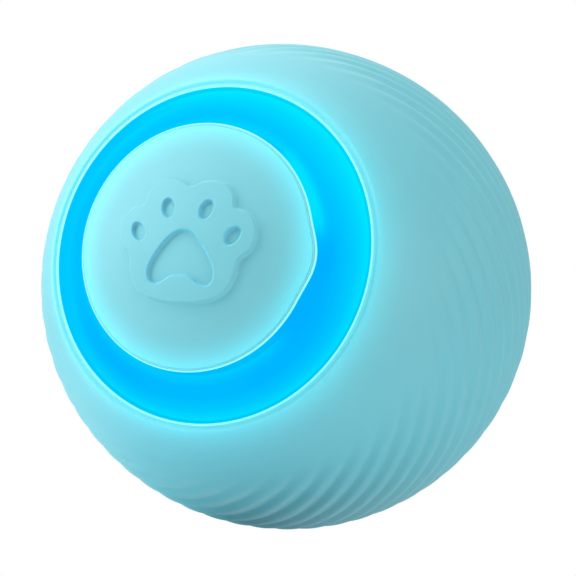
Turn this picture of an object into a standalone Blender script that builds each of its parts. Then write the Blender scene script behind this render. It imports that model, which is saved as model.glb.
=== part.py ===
"""A self-rolling ball toy for a dog.

A ribbed rubber sleeve covers two half shells. Each end of the ball has a light ring and a domed cap
with a raised paw. A weighted drive unit hangs inside on its two hubs. Its motor turns a compound
gear, which walks round a ring gear that is screwed to the rear half shell, and so the ball rolls.

Lengths are in metres. The ball rolls about the Y axis. The charging side faces -Y, and the paw on
its cap stands upright along +Z. A place "out" along the axis is measured from the ball's centre.
Each side of the ball has its own frame, with X to the right and Y up as one looks at that side.
"""

import math

import bmesh
import bpy
from mathutils import Matrix, Vector

# Ball and sleeve. The ball's size is set by the tread's radius, and what follows it is a share of it.
TREAD_RADIUS = 0.0401
SHOULDER_RISE = 0.00065
SHOULDER_RADIUS = TREAD_RADIUS + SHOULDER_RISE
SLEEVE_WALL = 0.0022
SLEEVE_INNER_RADIUS = TREAD_RADIUS - SLEEVE_WALL
OPENING_SHARE = 0.6658
OPENING_RADIUS = TREAD_RADIUS * OPENING_SHARE
LIP_WIDTH = 0.0008
LIP_DROP = 0.0004
SHOULDER_ANGLE = math.radians(25)
RIB_COUNT = 40
RIB_DEPTH = 0.0006
RIB_LEAN = -1.4
RIB_START_ANGLE = math.radians(55)
RIB_FULL_ANGLE = math.radians(68)
RIB_SECTION_SHARES = (1.0, 0.0)
SKIN_ROWS = 11

# Clearances
SEAT_GAP = 0.0003
EASY_GAP = 0.0004
CUT_OVERRUN = 0.002

# Half shells, whose end walls carry the bearings
SHELL_OUTER_RADIUS = SLEEVE_INNER_RADIUS - SEAT_GAP
SHELL_WALL = 0.0020
SHELL_INNER_RADIUS = SHELL_OUTER_RADIUS - SHELL_WALL
END_WALL_SHARE = 0.758
END_WALL_OUT = SHELL_OUTER_RADIUS * END_WALL_SHARE
END_WALL_THICKNESS = 0.0020
SPIGOT_REACH = 0.0033
SPIGOT_STEP = 0.0012
SPIGOT_WALL = 0.0014
SPIGOT_OUTER_RADIUS = SHELL_OUTER_RADIUS - SPIGOT_STEP
SPIGOT_INNER_RADIUS = SPIGOT_OUTER_RADIUS - SPIGOT_WALL
JOINT_STEP = 0.0010
SEAL_THICKNESS = 0.0006

# Light rings
RING_PROUD = 0.0001
RING_OUTER_RADIUS = TREAD_RADIUS + RING_PROUD
RING_WALL = 0.0018
RING_FLANGE = 0.0008
RING_FLANGE_REACH = 0.0020
RING_FOOT_WALL = 0.0015
RING_NECK_WALL = 0.0018
CAP_SEAT_DEPTH = 0.0007

# Caps
CAP_SHARE = 0.4913
CAP_RADIUS = TREAD_RADIUS * CAP_SHARE
CAP_PROUD = 0.0021
CAP_RISE = 0.00385
CAP_SHOULDER_OUT = math.sqrt(RING_OUTER_RADIUS**2 - CAP_RADIUS**2) + CAP_PROUD
CAP_APEX_OUT = CAP_SHOULDER_OUT + CAP_RISE
CAP_EDGE_ROUND = 0.0008
CAP_WALL = 0.0018
CAP_SKIRT_WALL = 0.0015
CAP_SKIRT_REACH = 0.0036
TAB_PROUD = 0.00077
TAB_HALF_ANGLE = math.radians(17)
TAB_AIM = math.radians(-2.4)
TAB_THICKNESS = 0.0011

# Paw on the front cap, whose outlines are shares of its half width
PAW_SHARE = 0.589
PAW_HALF_WIDTH = CAP_RADIUS * PAW_SHARE
PAW_RAISE = 0.0009
PLAQUE_SHARES = (
    (0.0, 0.764), (0.16, 0.833), (0.345, 0.85), (0.517, 0.793), (0.63, 0.655), (0.672, 0.5),
    (0.828, 0.448), (0.957, 0.328), (1.0, 0.155), (0.957, -0.052), (0.81, -0.207),
    (0.776, -0.397), (0.69, -0.595), (0.509, -0.741), (0.25, -0.81), (0.0, -0.828),
)
PAD_SHARES = (
    (0.0, 0.151), (0.112, 0.123), (0.224, 0.034), (0.336, -0.108), (0.431, -0.26), (0.479, -0.397),
    (0.46, -0.517), (0.379, -0.577), (0.267, -0.56), (0.129, -0.483), (0.0, -0.448),
)
TOE_CENTRE_SHARES = ((0.279, 0.441), (0.69, 0.11))
TOE_HALF_SIZE_SHARES = (0.091, 0.138)
TOE_LEANS = (math.radians(-15), math.radians(-33))
TOE_POINTS = 8

# Windows in the end walls, under the light rings
WINDOW_MARGIN = 0.0007
WINDOW_WIDTH = 0.0025
WINDOW_INNER_RADIUS = CAP_RADIUS + WINDOW_MARGIN
WINDOW_OUTER_RADIUS = WINDOW_INNER_RADIUS + WINDOW_WIDTH
WINDOW_SPOKE = 0.0040

# Hubs and bearings
HUB_RADIUS = 0.0100
HUB_WALL = 0.0014
HUB_BORE = HUB_RADIUS - HUB_WALL
HUB_PROUD = 0.0009
HUB_OUT = END_WALL_OUT + HUB_PROUD
HUB_FACE = 0.0012
HUB_SHOULDER = 0.0028
HUB_SHOULDER_RADIUS = HUB_RADIUS + HUB_SHOULDER
BEARING_INNER_RADIUS = HUB_RADIUS + SEAT_GAP
BEARING_WALL = 0.0017
BEARING_FLANGE_REACH = 0.0016
BEARING_FLANGE_RADIUS = BEARING_INNER_RADIUS + BEARING_WALL + BEARING_FLANGE_REACH
BEARING_FLANGE = 0.0010

# Drive unit: plates
PLATE_SHARE = 0.5736
PLATE_RADIUS = TREAD_RADIUS * PLATE_SHARE
PLATE_THICKNESS = 0.0020
PLATE_DROP = 0.0057
REAR_NECK = 0.0015
REAR_NECK_RADIUS = HUB_RADIUS - REAR_NECK
REAR_NECK_WALL = 0.0020
REAR_BORE = REAR_NECK_RADIUS - REAR_NECK_WALL
REAR_FLANGE_REACH = 0.0014
REAR_FLANGE_RADIUS = HUB_SHOULDER_RADIUS + REAR_FLANGE_REACH
REAR_FLANGE = 0.0008
PILLAR_RADIUS = 0.0024
PILLAR_SHARES = (0.652, 0.522)
PILLAR_SCREW_REACH = 0.0050
POST_RADIUS = 0.0021
SIDE_POST_SHARES = (0.652, 0.130)
TOP_POST_SHARE = 0.652
CRADLE_SCREW_SHARES = (0.674, -0.587)

# Gears. The ring gear fills the rear half shell below its ledge, and the teeth follow its size.
PRESSURE_ANGLE = math.radians(20)
RING_TEETH = 48
IDLER_SMALL_TEETH = 12
IDLER_LARGE_TEETH = 40
PINION_TEETH = 10
PINION_MODULE = 0.0005
TOOTH_THINNING_SHARE = 0.13
ROOT_CLEARANCE_SHARE = 0.25
RING_TOOTH_TIP_SHARE = 0.75
LEDGE_DROP = 0.0057
LEDGE_OUT = END_WALL_OUT - LEDGE_DROP
LEDGE_CLEARANCE = 0.0008
LEDGE_INNER_RADIUS = PLATE_RADIUS + LEDGE_CLEARANCE
RING_GEAR_WIDTH = 0.0040
RING_GEAR_OUT = LEDGE_OUT - SEAT_GAP - RING_GEAR_WIDTH
RING_GEAR_BODY_RADIUS = math.sqrt(SHELL_INNER_RADIUS**2 - LEDGE_OUT**2) - EASY_GAP
RING_GEAR_RIM = 0.0042
RING_MODULE = (RING_GEAR_BODY_RADIUS - RING_GEAR_RIM) / (RING_TEETH / 2 + 1 + ROOT_CLEARANCE_SHARE)
GEAR_SCREW_CIRCLE = (LEDGE_INNER_RADIUS + RING_GEAR_BODY_RADIUS) / 2
GEAR_SCREW_COUNT = 3
IDLER_PIN_RADIUS = 0.00125
MOTOR_SHAFT_RADIUS = 0.0009
LARGE_GEAR_WIDTH = 0.0028
GEAR_FACE_GAP = 0.0007
LARGE_GEAR_TOP_GAP = 0.0005
REAR_PLATE_CLEARANCE = 0.0020
REAR_PLATE_OUT = RING_GEAR_OUT - REAR_PLATE_CLEARANCE - PLATE_THICKNESS
LARGE_GEAR_OUT = REAR_PLATE_OUT - LARGE_GEAR_TOP_GAP - LARGE_GEAR_WIDTH
MOTOR_PLATE_OUT = LARGE_GEAR_OUT - GEAR_FACE_GAP - PLATE_THICKNESS

# Drive unit: light boards
BOARD_THICKNESS = 0.0010
BOARD_LIP = 0.0001
LED_COUNT = 6
LED_CIRCLE = (WINDOW_INNER_RADIUS + WINDOW_OUTER_RADIUS) / 2
LED_SIDE = 0.0020
LED_HEIGHT = 0.0009

# Drive unit: cradle, ballast, battery and motor
CRADLE_CLEARANCE = 0.0016
CRADLE_RADIUS = SHELL_INNER_RADIUS - CRADLE_CLEARANCE
CRADLE_WALL = 0.0020
CRADLE_HALF_WIDTH_SHARE = 0.957
CRADLE_TOP_SHARE = -0.391
BALLAST_HALF_WIDTH_SHARE = 0.75
BALLAST_TOP_SHARE = -0.538
CRADLE_HALF_WIDTH = PLATE_RADIUS * CRADLE_HALF_WIDTH_SHARE
CRADLE_TOP = PLATE_RADIUS * CRADLE_TOP_SHARE
BALLAST_HALF_WIDTH = CRADLE_HALF_WIDTH * BALLAST_HALF_WIDTH_SHARE
BALLAST_TOP = CRADLE_RADIUS * BALLAST_TOP_SHARE
BATTERY_HALF_WIDTH = 0.0100
BATTERY_HEIGHT = 0.0060
BATTERY_ROUND = 0.0020
MOTOR_RADIUS = 0.0060
MOTOR_HALF_HEIGHT = 0.0050
MOTOR_LENGTH_SHARE = 0.374
MOTOR_LENGTH = TREAD_RADIUS * MOTOR_LENGTH_SHARE
MOTOR_SCREW_X = 0.0050
MOTOR_BOSS_RADIUS = 0.0028
MOTOR_BOSS = 0.0010

# Drive unit: main board, charging port, switch and button
MAIN_BOARD_DROP = 0.0037
MAIN_BOARD_THICKNESS = 0.0012
MAIN_BOARD_SHARE = 0.710
MAIN_BOARD_RADIUS = PLATE_RADIUS * MAIN_BOARD_SHARE
MAIN_BOARD_OUT = HUB_OUT - PLATE_DROP - PLATE_THICKNESS - MAIN_BOARD_DROP
BOARD_BOTTOM_GAP = 0.0006
MAIN_BOARD_BOTTOM = CRADLE_TOP + BOARD_BOTTOM_GAP
BOARD_SCREW_SHARES = (0.543, -0.196)
CHIP_SIDE = 0.0050
CHIP_HEIGHT = 0.0010
CHIP_X = 0.0045
CHIP_Y = 0.0065
PORT_WIDTH = 0.0089
PORT_HEIGHT = 0.0032
PORT_Y_SHARE = -0.349
PORT_Y = HUB_BORE * PORT_Y_SHARE
PORT_WALL = 0.0003
PORT_DEPTH = 0.0062
PORT_TONGUE_WIDTH = 0.0062
PORT_TONGUE = 0.0007
BUTTON_Y_SHARE = 0.488
BUTTON_SHARE = 0.291
BUTTON_FLANGE_SHARE = 0.419
BUTTON_Y = HUB_BORE * BUTTON_Y_SHARE
BUTTON_RADIUS = HUB_BORE * BUTTON_SHARE
BUTTON_FLANGE_RADIUS = HUB_BORE * BUTTON_FLANGE_SHARE
BUTTON_PROUD = 0.0008
BUTTON_FLANGE = 0.0009
BUTTON_TRAVEL = 0.0005
SWITCH_SIDE_SHARE = 0.698
SWITCH_SIDE = HUB_BORE * SWITCH_SIDE_SHARE
SWITCH_HEIGHT = 0.0034
SWITCH_PLUNGER_RADIUS = 0.0016

# Leads
LEAD_RADIUS = 0.0005
LIGHT_LEAD_SHARES = (0.480, 0.470)
BATTERY_LEAD_X = 0.0040
BATTERY_LEAD_Y = -0.0060
BATTERY_LEAD_DROP = 0.0040
MOTOR_LEAD_X = -0.0042
MOTOR_LEAD_Y = -0.0010
MOTOR_LEAD_BEND_SHARE = 0.55

# Screws
SCREW_RADIUS = 0.00075
SCREW_HEAD_RADIUS = 0.0015
SCREW_HEAD = 0.0010

# How finely round shapes are faceted
SKIN_COLUMNS_PER_RIB = len(RIB_SECTION_SHARES)
ROUND_STEPS = 24
BORE_STEPS = 20
PAW_STEPS = 14
SMALL_STEPS = 8
SCREW_STEPS = 6
ARC_POINTS = 3
SHELL_ARC_POINTS = 5
DOME_SPANS = 3
WELD_DISTANCE = 0.000002


def clear_scene():
    for obj in list(bpy.data.objects):
        bpy.data.objects.remove(obj, do_unlink=True)


def new_collection(name):
    collection = bpy.data.collections.new(name)
    bpy.context.scene.collection.children.link(collection)
    return collection


def finish(name, color, roughness, metallic=0.0, glow=0.0):
    """A Principled material, made once for each name."""
    material = bpy.data.materials.get(name)
    if material:
        return material
    material = bpy.data.materials.new(name)
    material.use_nodes = True
    shader = material.node_tree.nodes["Principled BSDF"]
    shader.inputs["Base Color"].default_value = (*color, 1.0)
    shader.inputs["Roughness"].default_value = roughness
    shader.inputs["Metallic"].default_value = metallic
    shader.inputs["Emission Color"].default_value = (*color, 1.0)
    shader.inputs["Emission Strength"].default_value = glow
    return material


def add_frame(name, location=(0, 0, 0), rotation=(0, 0, 0), parent=None):
    frame = bpy.data.objects.new(name, None)
    frame.location = location
    frame.rotation_euler = rotation
    frame.parent = parent
    parts.objects.link(frame)
    return frame


def add_piece(name, mesh, material, parent, location=(0, 0, 0)):
    """A sub-part: it is kept in the collection of parts and has its own finish."""
    mesh.name = name
    mesh.materials.clear()
    mesh.materials.append(material)
    obj = bpy.data.objects.new(name, mesh)
    obj.parent = parent
    obj.location = location
    parts.objects.link(obj)
    return obj


def add_cutter(name, mesh, parent, location=(0, 0, 0)):
    """A helper shape that a Boolean uses. It isn't part of the toy."""
    obj = bpy.data.objects.new(name, mesh)
    obj.parent = parent
    obj.location = location
    obj.hide_render = True
    obj.display_type = "WIRE"
    cutters.objects.link(obj)
    return obj


def combine(obj, other, operation):
    modifier = obj.modifiers.new(operation.lower(), "BOOLEAN")
    modifier.operation = operation
    modifier.object = other
    modifier.solver = "EXACT"


def mesh_from(bm, name):
    mesh = bpy.data.meshes.new(name)
    bm.to_mesh(mesh)
    bm.free()
    return mesh


def shade_round(obj, angle=math.radians(30)):
    obj.data.shade_smooth()
    obj.data.set_sharp_from_angle(angle=angle)


def block(name, low, high):
    """A box between two opposite corners."""
    low, high = Vector(low), Vector(high)
    bm = bmesh.new()
    place = Matrix.Translation((low + high) / 2) @ Matrix.Diagonal((*(high - low), 1))
    bmesh.ops.create_cube(bm, size=1, matrix=place)
    return mesh_from(bm, name)


def rods(name, centres, radius, low, high, steps=SMALL_STEPS):
    """Equal upright cylinders, one at each centre."""
    bm = bmesh.new()
    for x, y in centres:
        bmesh.ops.create_cone(
            bm, cap_ends=True, segments=steps, radius1=radius, radius2=radius,
            depth=high - low, matrix=Matrix.Translation((x, y, (low + high) / 2)),
        )
    return mesh_from(bm, name)


def ball(name, radius, steps=ROUND_STEPS):
    bm = bmesh.new()
    bmesh.ops.create_uvsphere(bm, u_segments=steps, v_segments=steps // 2, radius=radius)
    return mesh_from(bm, name)


def profile(name, points, closed):
    """Points as (radius, height), joined by edges, for a Screw modifier to turn."""
    mesh = bpy.data.meshes.new(name)
    edges = [(i, i + 1) for i in range(len(points) - 1)]
    if closed:
        edges.append((len(points) - 1, 0))
    mesh.from_pydata([(radius, 0, height) for radius, height in points], edges, [])
    return mesh


def turn(obj, steps):
    screw = obj.modifiers.new("turn", "SCREW")
    screw.axis = "Z"
    screw.angle = 2 * math.pi
    screw.steps = steps
    screw.render_steps = steps
    screw.use_merge_vertices = True
    screw.merge_threshold = WELD_DISTANCE
    return obj


def turned_piece(name, points, material, parent, steps=ROUND_STEPS, closed=True, location=(0, 0, 0)):
    mesh = profile(name, points, closed)
    return turn(add_piece(name, mesh, material, parent, location), steps)


def turned_cutter(name, points, parent, steps=ROUND_STEPS, closed=True, location=(0, 0, 0)):
    return turn(add_cutter(name, profile(name, points, closed), parent, location), steps)


def flat_plate(name, outlines, low, high):
    """A plate with these outlines. An outline inside another is a hole."""
    curve = bpy.data.curves.new(name, "CURVE")
    curve.dimensions = "2D"
    curve.fill_mode = "BOTH"
    curve.extrude = (high - low) / 2
    for outline in outlines:
        spline = curve.splines.new("POLY")
        spline.points.add(len(outline) - 1)
        for point, (x, y) in zip(spline.points, outline):
            point.co = (x, y, 0, 1)
        spline.use_cyclic_u = True
    obj = bpy.data.objects.new(name, curve)
    bpy.context.scene.collection.objects.link(obj)
    graph = bpy.context.evaluated_depsgraph_get()
    mesh = bpy.data.meshes.new_from_object(obj.evaluated_get(graph))
    bpy.data.objects.remove(obj)
    bpy.data.curves.remove(curve)
    bm = bmesh.new()
    bm.from_mesh(mesh)
    bmesh.ops.remove_doubles(bm, verts=bm.verts, dist=WELD_DISTANCE)
    bmesh.ops.recalc_face_normals(bm, faces=bm.faces)
    bmesh.ops.translate(bm, verts=bm.verts, vec=(0, 0, (low + high) / 2))
    bm.to_mesh(mesh)
    bm.free()
    return mesh


def circle(radius, centre=(0, 0), steps=BORE_STEPS):
    turns = [2 * math.pi * i / steps for i in range(steps)]
    return [(centre[0] + radius * math.cos(t), centre[1] + radius * math.sin(t)) for t in turns]


def ellipse(centre, half_width, half_height, lean, steps):
    points = []
    for i in range(steps):
        t = 2 * math.pi * i / steps
        x, y = half_width * math.cos(t), half_height * math.sin(t)
        points.append((
            centre[0] + x * math.cos(lean) - y * math.sin(lean),
            centre[1] + x * math.sin(lean) + y * math.cos(lean),
        ))
    return points


def both_halves(shares, size):
    """An outline from the shares of its right half, top to bottom, and their mirror image."""
    right = [(x * size, y * size) for x, y in shares]
    left = [(-x, y) for x, y in reversed(right[1:-1])]
    return right + left


def height_on_sphere(sphere_radius, radius):
    return math.sqrt(sphere_radius**2 - radius**2)


def sphere_arc(sphere_radius, first, last, count=ARC_POINTS):
    """Points as (radius, height) on a sphere about the centre, between two polar angles."""
    angles = [first + (last - first) * i / (count - 1) for i in range(count)]
    return [(sphere_radius * math.sin(a), sphere_radius * math.cos(a)) for a in angles]


def polar_at_radius(sphere_radius, radius):
    return math.asin(radius / sphere_radius)


def polar_at_height(sphere_radius, height):
    return math.acos(height / sphere_radius)


def smooth_step(value):
    value = min(max(value, 0), 1)
    return value * value * (3 - 2 * value)


def skin_radius(polar, groove_share):
    """How far the sleeve's outer skin lies from the centre, at a polar angle from the front."""
    from_middle = abs(polar - math.pi / 2)
    crown = min(from_middle / SHOULDER_ANGLE, 1) ** 2
    from_end = math.pi / 2 - from_middle
    fade = smooth_step((from_end - RIB_START_ANGLE) / (RIB_FULL_ANGLE - RIB_START_ANGLE))
    crest = TREAD_RADIUS + (SHOULDER_RADIUS - TREAD_RADIUS) * crown
    return crest - RIB_DEPTH * groove_share * fade


def ribbed_skin(name):
    """The sleeve's outer skin as a closed loft, whose rings turn a little from one to the next, so that
    the columns of faces run along the slanting ribs."""
    columns = RIB_COUNT * SKIN_COLUMNS_PER_RIB
    lip_radius = OPENING_RADIUS + LIP_WIDTH
    lip_polar = polar_at_radius(SHOULDER_RADIUS, lip_radius)
    inner_radius = OPENING_RADIUS - LIP_WIDTH
    inner_out = height_on_sphere(SHOULDER_RADIUS, lip_radius) - LIP_DROP
    step = (math.pi - 2 * lip_polar) / (SKIN_ROWS - 1)
    polars = [lip_polar + step * i for i in range(SKIN_ROWS)]
    bm = bmesh.new()
    rings = []

    def add_ring(polar, place):
        turned_by = RIB_LEAN * (polar - math.pi / 2)
        ring = []
        for column in range(columns):
            angle = 2 * math.pi * column / columns + turned_by
            radius, out = place(RIB_SECTION_SHARES[column % SKIN_COLUMNS_PER_RIB])
            ring.append(bm.verts.new((radius * math.cos(angle), radius * math.sin(angle), out)))
        rings.append(ring)

    add_ring(lip_polar, lambda share: (inner_radius, inner_out))
    for polar in polars:
        add_ring(polar, lambda share, p=polar: (
            skin_radius(p, share) * math.sin(p), skin_radius(p, share) * math.cos(p)))
    add_ring(math.pi - lip_polar, lambda share: (inner_radius, -inner_out))
    for upper, lower in zip(rings, rings[1:]):
        for i in range(columns):
            j = (i + 1) % columns
            bm.faces.new((upper[i], lower[i], lower[j], upper[j]))
    bm.faces.new(rings[0])
    bm.faces.new(rings[-1])
    bmesh.ops.recalc_face_normals(bm, faces=bm.faces)
    return mesh_from(bm, name)


def gear_outline(teeth, module, tip, root, thickness, aim, straight):
    """A spur gear's involute outline with one tooth pointing to the angle aim. The tip and root heights
    are measured from the pitch circle, and the thickness is the tooth's on that circle. Straight flanks
    have no point between the root and the tip."""
    pitch = module * teeth / 2
    base = pitch * math.cos(PRESSURE_ANGLE)
    half_at_pitch = thickness / (2 * pitch)
    involute_at_pitch = math.tan(PRESSURE_ANGLE) - PRESSURE_ANGLE
    flank = []
    for radius in (pitch - root, pitch + tip) if straight else (pitch - root, pitch, pitch + tip):
        roll = math.acos(min(base / radius, 1))
        flank.append((radius, half_at_pitch + involute_at_pitch - (math.tan(roll) - roll)))
    outline = []
    for tooth in range(teeth):
        middle = aim + 2 * math.pi * tooth / teeth
        for radius, half in flank:
            outline.append((radius, middle - half))
        for radius, half in reversed(flank):
            outline.append((radius, middle + half))
    return [(radius * math.cos(a), radius * math.sin(a)) for radius, a in outline]


def external_gear(teeth, module, aim, straight=False):
    thickness = module * (math.pi / 2 - TOOTH_THINNING_SHARE)
    root = module * (1 + ROOT_CLEARANCE_SHARE)
    return gear_outline(teeth, module, module, root, thickness, aim, straight)


def internal_gear(teeth, module, aim):
    """The inside of a ring gear, with one space pointing to the angle aim."""
    space = module * (math.pi / 2 + TOOTH_THINNING_SHARE)
    root = module * (1 + ROOT_CLEARANCE_SHARE)
    return gear_outline(teeth, module, root, module * RING_TOOTH_TIP_SHARE, space, aim, straight=True)


def add_sleeve():
    lip_wall = SLEEVE_INNER_RADIUS + RING_FLANGE + SEAT_GAP
    skin = add_piece("tread_sleeve", ribbed_skin("tread_sleeve"), aqua_rubber, front)
    pocket_radius = OPENING_RADIUS + RING_FLANGE_REACH + EASY_GAP
    pocket_polar = polar_at_radius(lip_wall, pocket_radius)
    upper = [
        (0, SHOULDER_RADIUS + CUT_OVERRUN),
        (OPENING_RADIUS, SHOULDER_RADIUS + CUT_OVERRUN),
        (OPENING_RADIUS, height_on_sphere(lip_wall, OPENING_RADIUS)),
        (pocket_radius, height_on_sphere(lip_wall, pocket_radius)),
    ]
    lower = [(radius, -height) for radius, height in reversed(upper)]
    polars = [pocket_polar] + shell_polars()[1:]
    polars += [math.pi - polar for polar in reversed(polars[:-1])]
    middle = [(SLEEVE_INNER_RADIUS * math.sin(p), SLEEVE_INNER_RADIUS * math.cos(p)) for p in polars]
    inside = turned_cutter("sleeve_inside", upper + middle + lower, front, closed=False)
    combine(skin, inside, "DIFFERENCE")
    shade_round(skin)


def shell_polars():
    """Where the half shells' skin and the inside of the sleeve have their rings of points."""
    first = polar_at_height(SHELL_OUTER_RADIUS, END_WALL_OUT)
    step = (math.pi / 2 - first) / (SHELL_ARC_POINTS - 1)
    return [first + step * i for i in range(SHELL_ARC_POINTS)]


def shell_outline(is_front):
    """One half shell's section, clockwise from the end wall's outer corner."""
    outer = SHELL_OUTER_RADIUS
    inner = SHELL_INNER_RADIUS
    end_wall_in = END_WALL_OUT - END_WALL_THICKNESS
    joint = JOINT_STEP if is_front else JOINT_STEP - SEAL_THICKNESS - 2 * SEAT_GAP
    joint = joint if is_front else -joint
    polars = shell_polars()[:-1] + [polar_at_height(outer, joint)]
    skin = [(outer * math.sin(p), outer * math.cos(p)) for p in polars]
    if is_front:
        edge = [
            (SPIGOT_OUTER_RADIUS, joint),
            (SPIGOT_OUTER_RADIUS, -SPIGOT_REACH),
            (SPIGOT_INNER_RADIUS, -SPIGOT_REACH),
        ]
        edge_polar = polar_at_radius(inner, SPIGOT_INNER_RADIUS)
        inside = sphere_arc(inner, edge_polar, polar_at_height(inner, end_wall_in), SHELL_ARC_POINTS - 1)
        edge.append((SPIGOT_INNER_RADIUS, inside[0][1]))
        inside = inside[1:]
    else:
        rebate = SPIGOT_OUTER_RADIUS + SEAT_GAP
        rebate_out = SPIGOT_REACH + SEAT_GAP
        edge = [(rebate, joint), (rebate, rebate_out)]
        inside = sphere_arc(inner, polar_at_height(inner, rebate_out), polar_at_height(inner, LEDGE_OUT),
                            SHELL_ARC_POINTS - 1)
        inside += [(LEDGE_INNER_RADIUS, LEDGE_OUT), (LEDGE_INNER_RADIUS, end_wall_in)]
    bore = BEARING_INNER_RADIUS + BEARING_WALL + SEAT_GAP
    return skin + edge + inside + [(bore, end_wall_in), (bore, END_WALL_OUT)]


def add_shell(name, side, is_front):
    shell = turned_piece(name, shell_outline(is_front), shell_plastic, side)
    low, high = END_WALL_OUT - END_WALL_THICKNESS - CUT_OVERRUN, END_WALL_OUT + CUT_OVERRUN
    window = turned_cutter(name + "_windows", [
        (WINDOW_INNER_RADIUS, high), (WINDOW_OUTER_RADIUS, high),
        (WINDOW_OUTER_RADIUS, low), (WINDOW_INNER_RADIUS, low),
    ], side)
    reach = WINDOW_OUTER_RADIUS + CUT_OVERRUN
    for long_x, long_y in ((reach, WINDOW_SPOKE / 2), (WINDOW_SPOKE / 2, reach)):
        spoke = block("spoke", (-long_x, -long_y, low - CUT_OVERRUN), (long_x, long_y, high + CUT_OVERRUN))
        combine(window, add_cutter(name + "_spoke", spoke, side), "DIFFERENCE")
    combine(shell, window, "DIFFERENCE")
    if not is_front:
        holes = rods("ledge_holes", gear_screw_places(), SCREW_RADIUS + SEAT_GAP,
                     LEDGE_OUT - CUT_OVERRUN, LEDGE_OUT + PLATE_THICKNESS, SCREW_STEPS)
        combine(shell, add_cutter("ledge_holes", holes, side), "DIFFERENCE")
    shade_round(shell)


def add_seal():
    """The flat seal that the two half shells squeeze when they are twisted together."""
    high = JOINT_STEP - SEAT_GAP
    outer = height_on_sphere(SHELL_OUTER_RADIUS, JOINT_STEP)
    inner = SPIGOT_OUTER_RADIUS + SEAT_GAP
    turned_piece("shell_seal", [
        (outer, high), (outer, high - SEAL_THICKNESS), (inner, high - SEAL_THICKNESS), (inner, high),
    ], black_rubber, front)


def add_light_ring(name, side):
    outer, inner = RING_OUTER_RADIUS, RING_OUTER_RADIUS - RING_WALL
    rim = OPENING_RADIUS - SEAT_GAP
    groove = CAP_RADIUS + SEAT_GAP
    neck_inner = groove - RING_NECK_WALL
    seat = height_on_sphere(outer, groove) - CAP_SEAT_DEPTH
    foot = SHELL_OUTER_RADIUS + SEAT_GAP
    flange_top = foot + RING_FLANGE
    flange_edge = rim + RING_FLANGE_REACH
    flange_polar = polar_at_radius(flange_top, flange_edge)
    foot_inner = rim - RING_FOOT_WALL
    face = sphere_arc(outer, polar_at_radius(outer, groove), polar_at_radius(outer, rim))
    turned_piece(name, face + [
        (rim, height_on_sphere(flange_top, rim)),
        (flange_edge, height_on_sphere(flange_top, flange_edge)),
        (foot * math.sin(flange_polar), foot * math.cos(flange_polar)),
        (foot_inner, height_on_sphere(foot, foot_inner)),
        (foot_inner, height_on_sphere(inner, foot_inner)),
        (groove, height_on_sphere(inner, groove)),
        (groove, END_WALL_OUT + SEAT_GAP),
        (neck_inner, END_WALL_OUT + SEAT_GAP),
        (neck_inner, seat),
        (groove, seat),
    ], light_plastic, side)


def dome_out(radius, apex_out):
    """How far out a cap's dome lies at a radius from its axis, for the dome's apex."""
    edge = CAP_RADIUS - CAP_EDGE_ROUND
    rise = CAP_APEX_OUT - CAP_SHOULDER_OUT
    dome_radius = (edge**2 + rise**2) / (2 * rise)
    return apex_out - dome_radius + math.sqrt(dome_radius**2 - radius**2)


def dome_points(apex_out, radius, count):
    return [(radius * i / count, dome_out(radius * i / count, apex_out)) for i in range(count + 1)]


def add_paw(name, cap, side):
    """The raised plaque with a pad and four toes sunk into it, as deep as the plaque is high."""
    outlines = [both_halves(PLAQUE_SHARES, PAW_HALF_WIDTH), both_halves(PAD_SHARES, PAW_HALF_WIDTH)]
    half_size = [share * PAW_HALF_WIDTH for share in TOE_HALF_SIZE_SHARES]
    for (x, y), lean in zip(TOE_CENTRE_SHARES, TOE_LEANS):
        for turn_sign in (1, -1):
            centre = (turn_sign * x * PAW_HALF_WIDTH, y * PAW_HALF_WIDTH)
            outlines.append(ellipse(centre, *half_size, turn_sign * lean, TOE_POINTS))
    low = dome_out(PAW_HALF_WIDTH, CAP_APEX_OUT) - CAP_WALL / 2
    high = CAP_APEX_OUT + PAW_RAISE + CUT_OVERRUN
    plaque = add_cutter(name + "_plaque", flat_plate("plaque", outlines, low, high), side)
    limit = dome_points(CAP_APEX_OUT + PAW_RAISE, CAP_RADIUS - CAP_EDGE_ROUND, DOME_SPANS)
    limit += [(CAP_RADIUS - CAP_EDGE_ROUND, low - CUT_OVERRUN), (0, low - CUT_OVERRUN)]
    dome = turned_cutter(name + "_plaque_limit", limit, side, PAW_STEPS, closed=False)
    combine(plaque, dome, "INTERSECT")
    combine(cap, plaque, "UNION")


def add_tab(name, cap, side):
    """The thumb tab on the cap's rim: a crescent that stands over the light ring."""
    half_chord = CAP_RADIUS * math.sin(TAB_HALF_ANGLE)
    rise = TAB_PROUD + CAP_RADIUS * (1 - math.cos(TAB_HALF_ANGLE))
    radius = (half_chord**2 + rise**2) / (2 * rise)
    centre = CAP_RADIUS + TAB_PROUD - radius
    high = CAP_SHOULDER_OUT - CAP_EDGE_ROUND
    low = high - TAB_THICKNESS
    at = (centre * math.cos(TAB_AIM), centre * math.sin(TAB_AIM))
    tab = add_cutter(name + "_tab", rods("tab", [at], radius, low, high, ROUND_STEPS), side)
    core_radius = CAP_RADIUS - CAP_SKIRT_WALL
    core = rods("core", [(0, 0)], core_radius, low - CUT_OVERRUN, high + CUT_OVERRUN, ROUND_STEPS)
    combine(tab, add_cutter(name + "_tab_core", core, side), "DIFFERENCE")
    combine(cap, tab, "UNION")


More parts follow.
